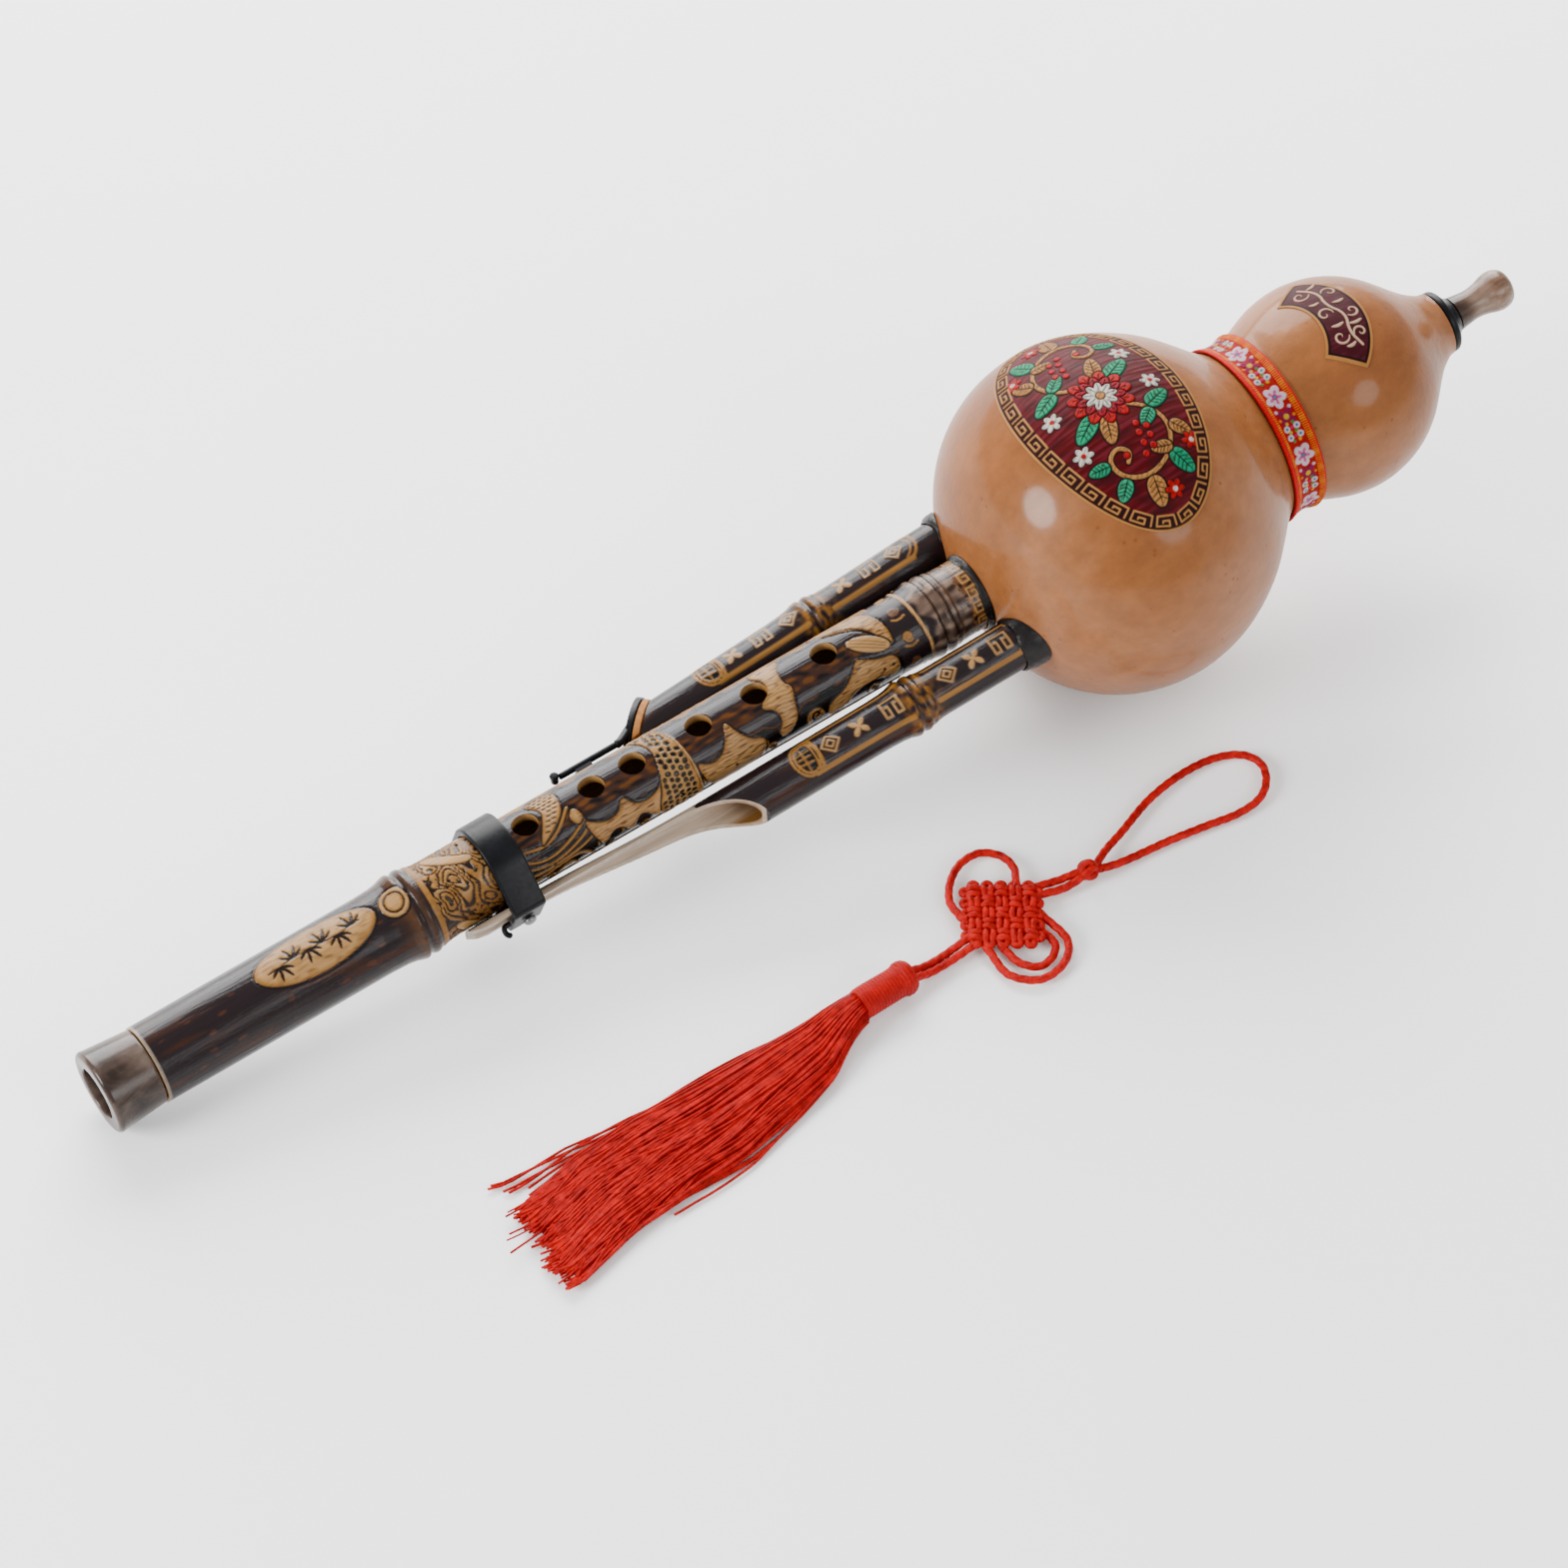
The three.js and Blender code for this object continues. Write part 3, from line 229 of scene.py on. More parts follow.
def cut(piece, cutters):
    """Takes the cutters away from a piece and deletes them."""
    for cutter in cutters:
        modifier = piece.modifiers.new("cut", "BOOLEAN")
        modifier.operation = "DIFFERENCE"
        modifier.solver = "MANIFOLD"
        modifier.object = cutter
    graph = bpy.context.evaluated_depsgraph_get()
    mesh = bpy.data.meshes.new_from_object(piece.evaluated_get(graph))
    piece.modifiers.clear()
    piece.data = mesh
    for cutter in cutters:
        bpy.data.objects.remove(cutter)
    mesh.shade_smooth()
    return piece


def points_of(piece):
    """A piece's points, in metres."""
    co = np.zeros(len(piece.data.vertices) * 3)
    piece.data.vertices.foreach_get("co", co)
    return co.reshape(-1, 3)


def move_points(piece, co):
    piece.data.vertices.foreach_set("co", np.asarray(co, np.float32).ravel())
    piece.data.update()


# ---------------------------------------------------------------- numbers shared with the solids
# the gourd's large bulb, waist, small bulb (crown) and neck: stations, radii, reach below and above
BULB, BULB_R, BULB_LOW, BULB_UP, BULB_POWER = 328.0, 51.1, 46.6, 50.25, 2.1
WAIST, WAIST_R = 378.25, 24.7
CROWN, CROWN_R = 402.75, 31.25
NECK_R, NECK_END, WALL = 9.6, 441.0, 3.4
# the rise and fall between them, as (share of the way, share of the height)
BULB_FALL = ((0, 1), (0.159, 0.968), (0.318, 0.884), (0.478, 0.736), (0.617, 0.553), (0.736, 0.339),
             (0.836, 0.147), (0.915, 0.038), (1, 0))
CROWN_RISE = ((0, 0), (0.235, 0.209), (0.439, 0.537), (0.684, 0.852), (1, 1))
NECK_FALL = ((0, 1), (0.111, 0.987), (0.268, 0.924), (0.425, 0.801), (0.556, 0.639), (0.66, 0.463),
             (0.765, 0.272), (0.869, 0.112), (1, 0))
# melody pipe: radii below and above the band, bore, bamboo nodes (station, rise), finger holes, the band's ends
PIPE_LOW, PIPE_UP, PIPE_BORE = 11.4, 10.55, 7.5
PIPE_NODES = ((100.5, 1.3), (269.5, 0.9))
HOLES, HOLE_R = [136.6, 157.9, 171.1, 192.6, 210.8, 233.6], 3.7
BAND, BAND_END = 121.0, 131.0
MID_BAND = (BAND + BAND_END) / 2
# drone pipes: radius, bore, thickness of the tongue, clearance round pipes, and their straight line's start and span
DRONE_R, DRONE_BORE, TONGUE, FIT = 7.2, 5.4, 3.0, 0.3
LINE_START, LINE_SPAN = 195, 90
# middle of the reeds and how deep their plates sink into the pipes
REED, SINK = 325, 1.2
CORD_R = 1.15


def ease(x, a, b):
    """0 before a, 1 after b, and smooth between them."""
    t = np.clip((np.asarray(x, float) - a) / (b - a), 0, 1)
    return t * t * (3 - 2 * t)


def follow(pairs, share):
    """Heights on a smooth curve through (share, height) pairs, level at both its ends."""
    at, height = np.array(pairs, float).T
    slope = np.zeros(len(at))
    slope[1:-1] = (height[2:] - height[:-2]) / (at[2:] - at[:-2])
    k = np.clip(np.searchsorted(at, share) - 1, 0, len(at) - 2)
    step, rise = np.diff(at)[k], np.diff(height)[k]
    t = np.clip((share - at[k]) / step, 0, 1)
    first, last = slope[k] * step, slope[k + 1] * step
    return height[k] + t * first + t * t * (3 * rise - 2 * first - last + t * (first + last - 2 * rise))


def gourd_radius(x, inset=0.0):
    """Radius of the gourd's outside, or of a skin this far inside it."""
    x = np.asarray(x, float)
    t = np.clip((BULB - x) / (BULB_LOW - inset), 0, 1)
    bulb = (BULB_R - inset) * (1 - t ** BULB_POWER) ** (1 / BULB_POWER)
    fall = WAIST_R + (BULB_R - WAIST_R) * follow(BULB_FALL, (x - BULB) / BULB_UP) - inset
    rise = WAIST_R + (CROWN_R - WAIST_R) * follow(CROWN_RISE, (x - WAIST) / (CROWN - WAIST)) - inset
    neck = NECK_R + (CROWN_R - NECK_R) * follow(NECK_FALL, (x - CROWN) / (NECK_END - CROWN)) - inset
    return np.select([x < BULB, x < WAIST, x < CROWN], [bulb, fall, rise], neck)


def gourd_face(distance, inset=0.0):
    """Station of the gourd's lower face at a distance from the axis."""
    share = 1 - (distance / (BULB_R - inset)) ** BULB_POWER
    return BULB - (BULB_LOW - inset) * share ** (1 / BULB_POWER)


NODE = ((-14, 0), (-9, 0.2), (-6.5, 0.55), (-4.6, 1.15), (-3.7, 1.4), (-3.1, 1.3), (-2.5, 0.75), (-1.8, 0.65),
        (-1.1, 1.1), (-0.4, 1.3), (0.4, 1.15), (1.1, 0.7), (1.7, 0.62), (2.3, 0.68), (3.2, 0.35), (5, 0.1), (7, 0))


def node_form(x, at, rise, width=1.0):
    """The double ridge and flare of a bamboo node."""
    offsets, heights = np.array(NODE).T
    return rise / 1.3 * np.interp((np.asarray(x, float) - at) / width, offsets, heights)


def pipe_radius(x):
    slim = (PIPE_LOW - PIPE_UP) * ease(x, BAND, BAND_END)
    return PIPE_LOW - slim + sum(node_form(x, at, rise) for at, rise in PIPE_NODES)


DRONES = {
    "near": dict(side=-1, start=(18.3, -8.0), end=(20.5, -2.5), node=250.0, tongue=-0.41, turn=0.35,
                 cut=(168.0, 198.0), power=3.0),
    "far": dict(side=1, start=(17.5, -6.3), end=(20.6, -2.5), node=243.0, tongue=-0.75, turn=0.7,
                cut=(181.1, 181.1 + 2 * DRONE_R - TONGUE), power=1.0),
}


def drone_frame(d, x):
    """Centre (y, z) and turn of a drone's section at each station."""
    x = np.asarray(x, float)
    along = (x - LINE_START) / LINE_SPAN
    seat = PIPE_LOW + FIT + DRONE_R
    free = ease(x, BAND_END, 182)
    out, up = (c + (s + (e - s) * along - c) * free for c, s, e in zip(
        (seat * math.cos(d["tongue"]), seat * math.sin(d["tongue"])), d["start"], d["end"]))
    return d["side"] * out, up, d["tongue"] + d["turn"] * free


def drone_point(d, x, out, up):
    """Instrument points at outward and upward offsets in a drone's section."""
    y, z, turn = drone_frame(d, x)
    return np.stack(np.broadcast_arrays(
        np.asarray(x, float),
        y + d["side"] * (out * np.cos(turn) - up * np.sin(turn)),
        z + out * np.sin(turn) + up * np.cos(turn)), -1)


def drone_local(d, points):
    """Station and outward and upward offsets of instrument points in a drone's section."""
    y, z, turn = drone_frame(d, points[:, 0])
    a, b = d["side"] * (points[:, 1] - y), points[:, 2] - z
    return points[:, 0], a * np.cos(turn) + b * np.sin(turn), b * np.cos(turn) - a * np.sin(turn)


def leaned(d, co):
    """Points round the instrument's axis moved onto a drone's straight line."""
    along = (co[..., 0] - LINE_START) / LINE_SPAN
    side, up = (s + (e - s) * along for s, e in zip(d["start"], d["end"]))
    return co + np.stack([np.zeros_like(along), d["side"] * side, up], -1)


def mouth_level(d, x):
    """Height of what is left of a drone's wall, above its innermost line."""
    a, b = d["cut"]
    tip = np.clip((x - 109) / 6, 0, 1)
    tongue = TONGUE * (0.45 + 0.55 * np.sqrt(tip))
    share = np.clip((x - a) / (b - a), 0, 1.2)
    return np.where(x > a, TONGUE + (2 * DRONE_R - TONGUE) * share ** d["power"], tongue)


# ---------------------------------------------------------------- cords of the tassel
LOOP = [(45.2, -71.3, 2.8), (50, -68.4, 2), (58, -65, 1.4), (72, -59.2, 1.3), (85.9, -56.6, 1.3),
        (96.4, -57.2, 1.3), (103, -60.4, 1.3), (105.3, -65.4, 1.3), (103.2, -71, 1.3), (98, -75.3, 1.3),
        (90, -76.7, 1.3), (79.5, -75.6, 1.3), (67, -74.4, 1.3), (56, -74, 1.4), (50, -73.9, 2), (45.2, -73.4, 2.8)]
RING_EAR = [(2.8, -66.4, 2.6), (3.6, -60.4, 1.7), (8, -54.2, 1.3), (14, -50.4, 1.3), (20.6, -50.2, 1.3),
            (25, -54.4, 1.3), (25.3, -59.8, 1.8), (22.8, -64.4, 2.6)]
INNER_EAR = [(7.1, -82.2, 1.8), (8.2, -87.6, 1.3), (12, -91.6, 1.3), (17, -90.8, 1.3), (20.2, -87.4, 1.3),
             (19.4, -82.1, 1.8)]
OUTER_EAR = [(3.2, -79.9, 1.9), (3.4, -89.4, 1.3), (9.6, -95.4, 1.3), (18.2, -94.4, 1.3), (23.8, -88.4, 1.3),
             (22.5, -78.2, 2.1)]
NECKS = [[(39.9, -71.6, 3), (38.1, -71, 2.7), (33.2, -70.2, 2.2), (26.8, -69.2, 2.7)],
         [(39.9, -72.8, 3), (38.1, -73.2, 2.7), (32.6, -73.3, 2.2), (26.1, -72.1, 2.7)]]
TAILS = [[(-0.6, -74.2, 2.7), (-9.5, -74.9, 1.5), (-15.5, -75.6, 2.4), (-19.8, -76.1, 4.4), (-23, -76.4, 5.3)],
         [(-0.5, -76.9, 2.5), (-9.5, -77.5, 1.5), (-15.5, -78.2, 2.4), (-19.8, -78.8, 4.4), (-23, -78.7, 5.3)]]


def braid(along, turn):
    """Three strands laid round each other."""
    wave = np.abs(np.cos(1.5 * turn + along * 2 * np.pi / 6.4))
    return 0.17 * wave - 0.13


def laid_cord(name, points):
    """One braided cord in place of its solid, with its path and length in metres."""
    path, length = route(points, 0.3)
    co, quads, caps = tube(path, CORD_R, 30, braid)
    piece = build(name + "_cord", co / 1000, [quads, caps])
    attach(piece, "tassel")
    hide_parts(name)
    return piece, path / 1000, length / 1000


def roots(centre, depth, *ends):
    """Short stretches that carry cords on into the knot round centre, from (end, point before it) pairs."""
    made = []
    for tip, before in ends:
        tip, before = np.array(tip, float), np.array(before, float)
        onward = (tip - before) / np.linalg.norm(tip - before)
        inward = (centre - tip) / np.linalg.norm(centre - tip)
        points = [tip - 0.3 * onward, tip + 0.4 * depth * onward, tip + depth * (0.5 * onward + 0.5 * inward)]
        made.append(tube(route(points, 0.3)[0], CORD_R * 0.99, 30, braid))
    return made


cords = []
for name, points in (("hanging_loop", LOOP), ("ring_ear", RING_EAR), ("outer_ear", OUTER_EAR)):
    piece, path, length = laid_cord(name, points)
    cords.append(piece)
cords.append(laid_cord("inner_ear", INNER_EAR)[0])
for i, (neck, tail) in enumerate(zip(NECKS, TAILS), 1):
    cords += [laid_cord(f"neck_cord_{i}", neck)[0], laid_cord(f"tail_cord_{i}", tail)[0]]


# ---------------------------------------------------------------- materials
class Look:
    """A Principled material whose colour, roughness and bump are built from nodes."""

    def __init__(self, name, **sockets):
        self.material = bpy.data.materials.new(name)
        self.material.use_nodes = True
        self.tree = self.material.node_tree
        self.shader = self.tree.nodes["Principled BSDF"]
        for key, value in sockets.items():
            self.shader.inputs[key.replace("_", " ")].default_value = value
        self.here = self.add("ShaderNodeTexCoord").outputs["Object"]

    def add(self, kind, **settings):
        """A node, with its own settings or its sockets' values."""
        node = self.tree.nodes.new(kind)
        for key, value in settings.items():
            if hasattr(node, key):
                setattr(node, key, value)
            else:
                node.inputs[key.replace("_", " ")].default_value = value
        return node

    def link(self, a, b):
        self.tree.links.new(a, b)

    def stretch(self, scale):
        """Object coordinates turned into the instrument's own frame and scaled (per metre)."""
        m = self.add("ShaderNodeMapping", Rotation=(0, TILT, 0))
        self.link(self.here, m.inputs["Vector"])
        s = self.add("ShaderNodeVectorMath", operation="MULTIPLY")
        self.link(m.outputs[0], s.inputs[0])
        s.inputs[1].default_value = scale
        return s.outputs[0]

    def noise(self, vector, scale=1.0, detail=4.0, rough=0.55, distort=0.0):
        n = self.add("ShaderNodeTexNoise", Scale=scale, Detail=detail, Roughness=rough, Distortion=distort)
        self.link(vector, n.inputs["Vector"])
        return n.outputs["Fac"]

    def ramp(self, value, stops):
        """Colours, or greys given as numbers, at (place, colour) stops."""
        r = self.add("ShaderNodeValToRGB")
        for i, (at, colour) in enumerate(stops):
            e = r.color_ramp.elements[i] if i < 2 else r.color_ramp.elements.new(at)
            e.position = at
            e.color = (*linear(colour), 1) if isinstance(colour, str) else (colour, colour, colour, 1)
        self.link(value, r.inputs["Fac"])
        return r.outputs["Color"]

    def mix(self, factor, a, b, kind="MIX"):
        """Mixes two colours; each value is a socket, a number or a colour code."""
        m = self.add("ShaderNodeMix", data_type="RGBA", blend_type=kind)
        for i, value in ((0, factor), (6, a), (7, b)):
            if isinstance(value, str):
                m.inputs[i].default_value = (*linear(value), 1)
            elif isinstance(value, (int, float)):
                m.inputs[i].default_value = value if i == 0 else (value, value, value, 1)
            else:
                self.link(value, m.inputs[i])
        return m.outputs[2]

    def bump(self, *layers):
        """Bumps from (height socket, depth in metres) pairs."""
        normal = None
        for height, depth in layers:
            b = self.add("ShaderNodeBump", Strength=1, Distance=depth)
            self.link(height, b.inputs["Height"])
            if normal is not None:
                self.link(normal, b.inputs["Normal"])
            normal = b.outputs["Normal"]
        self.link(normal, self.shader.inputs["Normal"])

    def along(self, a, b):
        """How far along the instrument, from 0 at station a to 1 at station b (mm)."""
        split = self.add("ShaderNodeSeparateXYZ")
        self.link(self.stretch((1, 1, 1)), split.inputs[0])
        share = self.add("ShaderNodeMapRange")
        for name, at in (("From Min", a), ("From Max", b)):
            share.inputs[name].default_value = (at + SHIFT[0] * math.cos(TILT) + SHIFT[2] * math.sin(TILT)) / 1000
        self.link(split.outputs["X"], share.inputs["Value"])
        return share.outputs["Result"]

    def colour(self, socket):
        self.link(socket, self.shader.inputs["Base Color"])

    def rough(self, socket):
        self.link(socket, self.shader.inputs["Roughness"])


DIM, RICH = 0.38, 1.36      # how much darker and richer a surface is than it shows under the studio's lights


def linear(code):
    """How much of each colour a surface gives back, for a colour as it shows in this bright studio."""
    rgb = [int(code[i:i + 2], 16) / 255 for i in (1, 3, 5)]
    rgb = [c / 12.92 if c <= 0.04045 else ((c + 0.055) / 1.055) ** 2.4 for c in rgb]
    grey = 0.3 * rgb[0] + 0.5 * rgb[1] + 0.2 * rgb[2]
    return tuple(max(DIM * (grey + RICH * (c - grey)), 0.0) for c in rgb)


def wear(piece, look):
    piece.data.materials.clear()
    piece.data.materials.append(look.material)


def settle(piece, node, body="instrument"):
    """Says which body a piece rides on, which node it stands for, if any."""
    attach(piece, body)
    if node:
        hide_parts(node)


def instrument_piece(name, points, faces, node, body="instrument", sharp=None):
    """A settled piece from instrument millimetres, its edges above sharp degrees creased."""
    piece = build(name, place(points), faces)
    settle(piece, node, body)
    if sharp:
        crease(piece, sharp)
    return piece


# ---------------------------------------------------------------- painting
class Paint:
    """Colours and relief heights laid over points with flat coordinates (u, v) in millimetres."""

    def __init__(self, u, v, base):
        self.u, self.v = np.asarray(u, float), np.asarray(v, float)
        self.colour = np.tile(np.array(linear(base)), (len(self.u), 1))
        self.height = np.zeros(len(self.u))
        self.gold = np.zeros(len(self.u))

    def near(self, lo_u, hi_u, lo_v, hi_v):
        """Points in a rectangle."""
        return np.flatnonzero((self.u >= lo_u) & (self.u <= hi_u) & (self.v >= lo_v) & (self.v <= hi_v))

    def lay(self, index, amount, colour=None, height=None, gold=None, lift=0.0):
        """Blends towards a colour, a height and a gold share by amount (0 to 1) at the points."""
        amount = np.clip(amount, 0, 1)
        if colour is not None:
            c = np.array(linear(colour)) if isinstance(colour, str) else colour
            self.colour[index] += amount[:, None] * (c - self.colour[index])
        if height is not None:
            self.height[index] += amount * (height - self.height[index])
        if gold is not None:
            self.gold[index] += amount * (gold - self.gold[index])
        if lift:
            self.height[index] += amount * lift

    def mottle(self, index, size, seed, gain, shift, most, stretch=1.0, **what):
        """Blotches where a random field, times gain plus shift, is above 0."""
        field = speckle(self.u[index], self.v[index], size, seed, stretch)
        self.lay(index, np.clip(field * gain + shift, 0, most), **what)

    def area(self, index, distance, soft=0.25, **what):
        """Lays over the inside of a signed distance, with a soft edge."""
        self.lay(index, 0.5 - distance / soft, **what)

    def polygon(self, corners, soft=0.3, smooth=2, grow=0.0, **what):
        c = rounded(corners, smooth)
        lo, hi = c.min(0) - soft - grow, c.max(0) + soft + grow
        index = self.near(lo[0], hi[0], lo[1], hi[1])
        if len(index):
            self.area(index, polygon_distance(self.u[index], self.v[index], c) - grow, soft, **what)

    def stroke(self, points, width, soft=0.25, smooth=2, closed=False, taper=False, **what):
        p = rounded(points, smooth, closed)
        if closed:
            p = np.vstack([p, p[:1]])
        reach = width / 2 + soft
        lo, hi = p.min(0) - reach, p.max(0) + reach
        index = self.near(lo[0], hi[0], lo[1], hi[1])
        if len(index):
            d, at = line_distance(self.u[index], self.v[index], p)
            half = width / 2 * (np.sqrt(np.clip(np.sin(np.pi * (0.06 + 0.94 * at)), 0, 1)) if taper else 1)
            self.area(index, d - half, soft, **what)

    def disc(self, centre, radius, soft=0.25, **what):
        self.oval(centre, radius, radius, 0.0, soft, **what)

    def oval(self, centre, a, b, turn=0.0, soft=0.25, **what):
        reach = max(a, b) + soft
        index = self.near(centre[0] - reach, centre[0] + reach, centre[1] - reach, centre[1] + reach)
        if len(index):
            self.area(index, oval_distance(self.u[index], self.v[index], centre, a, b, turn), soft, **what)


def rounded(points, times, closed=True):
    """Corners cut off again and again."""
    p = np.array(points, float)
    for _ in range(times):
        q = np.roll(p, -1, 0) if closed else p[1:]
        r = p if closed else p[:-1]
        new = np.empty((2 * len(r), 2))
        new[0::2], new[1::2] = 0.75 * r + 0.25 * q, 0.25 * r + 0.75 * q
        p = new if closed else np.vstack([p[:1], new, p[-1:]])
    return p


def polygon_distance(u, v, c):
    """Distance to a polygon's edge, negative inside."""
    d = np.full(len(u), 1e9)
    inside = np.zeros(len(u), bool)
    for (ax, ay), (bx, by) in zip(c, np.roll(c, -1, 0)):
        ex, ey = bx - ax, by - ay
        t = np.clip(((u - ax) * ex + (v - ay) * ey) / max(ex * ex + ey * ey, 1e-12), 0, 1)
        d = np.minimum(d, (u - ax - t * ex) ** 2 + (v - ay - t * ey) ** 2)
        if ay != by:
            inside ^= ((ay > v) != (by > v)) & (u < ax + (v - ay) * ex / ey)
    return np.where(inside, -1, 1) * np.sqrt(d)


def depth_in(shape, u, v):
    """How deep one place lies inside a shape with straight sides."""
    return -polygon_distance(np.array([u]), np.array([v]), np.array(shape, float))[0]


def line_distance(u, v, p):
    """Distance to a line and the share of its length at the nearest place."""
    d = np.full(len(u), 1e9)
    at = np.zeros(len(u))
    seg = np.linalg.norm(np.diff(p, axis=0), axis=1)
    along = np.r_[0, np.cumsum(seg)] / max(seg.sum(), 1e-9)
    for i, ((ax, ay), (bx, by)) in enumerate(zip(p[:-1], p[1:])):
        ex, ey = bx - ax, by - ay
        t = np.clip(((u - ax) * ex + (v - ay) * ey) / max(ex * ex + ey * ey, 1e-12), 0, 1)
        e = (u - ax - t * ex) ** 2 + (v - ay - t * ey) ** 2
        closer = e < d
        d = np.where(closer, e, d)
        at = np.where(closer, along[i] + t * (along[i + 1] - along[i]), at)
    return np.sqrt(d), at


def oval_distance(u, v, centre, a, b, turn=0.0):
    """About the distance to an oval's edge, negative inside."""
    c, s = math.cos(turn), math.sin(turn)
    x, y = (u - centre[0]) * c + (v - centre[1]) * s, (v - centre[1]) * c - (u - centre[0]) * s
    k = np.sqrt((x / a) ** 2 + (y / b) ** 2)
    g = np.sqrt((x / a ** 2) ** 2 + (y / b ** 2) ** 2)
    return np.where(g > 1e-9, k * (k - 1) / np.maximum(g, 1e-9), -min(a, b))


def angles(count, start=0.0):
    return [start + 2 * math.pi * k / count for k in range(count)]


def polar(centre, angle, reach, reach_v=None):
    """The place at an angle from a centre, on a circle or an oval."""
    reach_v = reach if reach_v is None else reach_v
    return centre[0] + reach * math.cos(angle), centre[1] + reach_v * math.sin(angle)


def swirl(centre, radius, turns, start=0.0, side=1, end=0.12):
    t = np.linspace(0, 1, 14 + int(14 * turns))
    r = radius * (1 - (1 - end) * t)
    angle = start + side * 2 * np.pi * turns * t
    return np.stack([centre[0] + r * np.cos(angle), centre[1] + r * np.sin(angle)], 1)


def speckle(u, v, size, seed, stretch=1.0, waves=16):
    """A smooth random field of about unit spread, with blots of about the given size."""
    rng = np.random.default_rng(seed)
    total = 0.0
    for _ in range(waves):
        a, k = rng.uniform(0, 2 * np.pi), 2 * np.pi / (size * rng.uniform(0.7, 1.6))
        total = total + np.cos(k * (u / stretch * math.cos(a) + v * math.sin(a)) + rng.uniform(0, 2 * np.pi))
    return total / math.sqrt(waves / 2)


def show_paint(piece, per_point, per_face=None, other=None):
    """Stores colours (r, g, b, gold share) at face corners; faces marked take the other colours."""
    mesh = piece.data
    corner = np.zeros(len(mesh.loops), np.int32)
    mesh.loops.foreach_get("vertex_index", corner)
    values = per_point[corner]
    if per_face is not None:
        size = np.zeros(len(mesh.polygons), np.int32)
        mesh.polygons.foreach_get("loop_total", size)
        marked = np.repeat(per_face, size)
        values[marked] = other[corner[marked]]
    layer = mesh.attributes.new("paint", "FLOAT_COLOR", "CORNER")
    layer.data.foreach_set("color", values.astype(np.float32).ravel())
    mesh.color_attributes.active_color = layer


def face_middles(piece):
    mid = np.zeros(len(piece.data.polygons) * 3)
    piece.data.polygons.foreach_get("center", mid)
    return mid.reshape(-1, 3)


def with_gold(paint):
    return np.hstack([paint.colour, paint.gold[:, None]])


def tint_points(colours, share, code):
    """Blends the points' colours towards a colour by share."""
    colours[:, :3] += share[:, None] * (np.array(linear(code)) - colours[:, :3])


def painted_look(name, dull=0.55, gloss=0.26, grain=(60, 900, 900), grain_share=0.25, depth=0.00006, shine=0.15):
    """Painted colours, glossier where the gold share is high, with a streaky grain."""
    look = Look(name, Specular_IOR_Level=shine)
    layer = look.add("ShaderNodeVertexColor", layer_name="paint")
    streaks = look.noise(look.stretch(grain), 1.0, 5.0, 0.6)
    blotch = look.noise(look.here, 260, 3.0, 0.5)
    shade = look.ramp(streaks, [(0.25, 1 - grain_share), (0.75, 1 + grain_share)])
    look.colour(look.mix(1.0, layer.outputs["Color"], shade, "MULTIPLY"))
    mixed = look.mix(layer.outputs["Alpha"], gloss, dull)
    look.rough(look.mix(0.18, mixed, blotch, "OVERLAY"))
    look.bump((streaks, depth))
    return look


# ---------------------------------------------------------------- gourd
def gourd_rows(inset, steps):
    """Station and radius rows of a gourd skin, from the melody pipe to the neck's end."""
    face = gourd_face(PIPE_UP + FIT, inset)
    half = BULB_LOW - inset
    first = math.acos((BULB - face) / half)
    lower = BULB - half * np.cos(np.linspace(first, np.pi / 2, steps))
    upper = np.arange(BULB + 0.7, NECK_END, 0.7)
    x = np.r_[lower, upper, NECK_END]
    return np.stack([x, gourd_radius(x, inset)], 1)


def drone_sleeve(name, radius, a, b, sides=64):
    """A cutter along a drone's straight line, from station a to b."""
    turn = circle(sides)
    y, z = radius * np.cos(turn), radius * np.sin(turn)
    co, *faces = capped([leaned(DRONES[name], np.stack([np.full(sides, x), y, z], 1)) for x in (a, b)])
    return build("cutter", place(co), faces)


outer, inner = gourd_rows(0, 46), gourd_rows(WALL, 16)
outer[0, 1] = inner[0, 1] = PIPE_UP + FIT
points, quads = turned(np.vstack([outer, inner[::-1]]), 256)
gourd = build("gourd", place(points), [quads])
cut(gourd, [drone_sleeve(name, DRONE_R + FIT, 270, BULB) for name in DRONES])
settle(gourd, "gourd_shell")
crease(gourd, 40)

skin = Look("gourd_skin", Specular_IOR_Level=0.05, Coat_Weight=0.27, Coat_Roughness=0.13, Coat_IOR=1.45,
            Subsurface_Weight=0.04, Subsurface_Scale=0.004)
cloud = skin.noise(skin.stretch((14, 14, 14)), 1.0, 5.0, 0.55, 0.4)
fine = skin.noise(skin.stretch((140, 200, 200)), 1.0, 5.0, 0.62)
tone = skin.ramp(cloud, [(0.30, "#956147"), (0.47, "#ad7757"), (0.68, "#c69377")])
streak = skin.ramp(fine, [(0.3, 0.84), (0.7, 1.1)])
base = skin.mix(1.0, tone, streak, "MULTIPLY")
speck = skin.add("ShaderNodeTexVoronoi", feature="F1", Scale=280)
skin.link(skin.here, speck.inputs["Vector"])
dots = skin.ramp(speck.outputs["Distance"], [(0.08, 1.0), (0.2, 0.0)])
rare = skin.ramp(skin.noise(skin.here, 90, 2.0, 0.5), [(0.52, 0.0), (0.62, 1.0)])
dotted = skin.mix(1.0, dots, rare, "MULTIPLY")
base = skin.mix(skin.mix(0.5, 0.0, dotted), base, "#7d4b2c")
skin.colour(base)
skin.rough(skin.ramp(fine, [(0.3, 0.4), (0.7, 0.52)]))
dimples = skin.noise(skin.here, 420, 2.0, 0.5)
skin.bump((cloud, 0.0006), (fine, 0.00012), (dimples, 0.00012))
wear(gourd, skin)


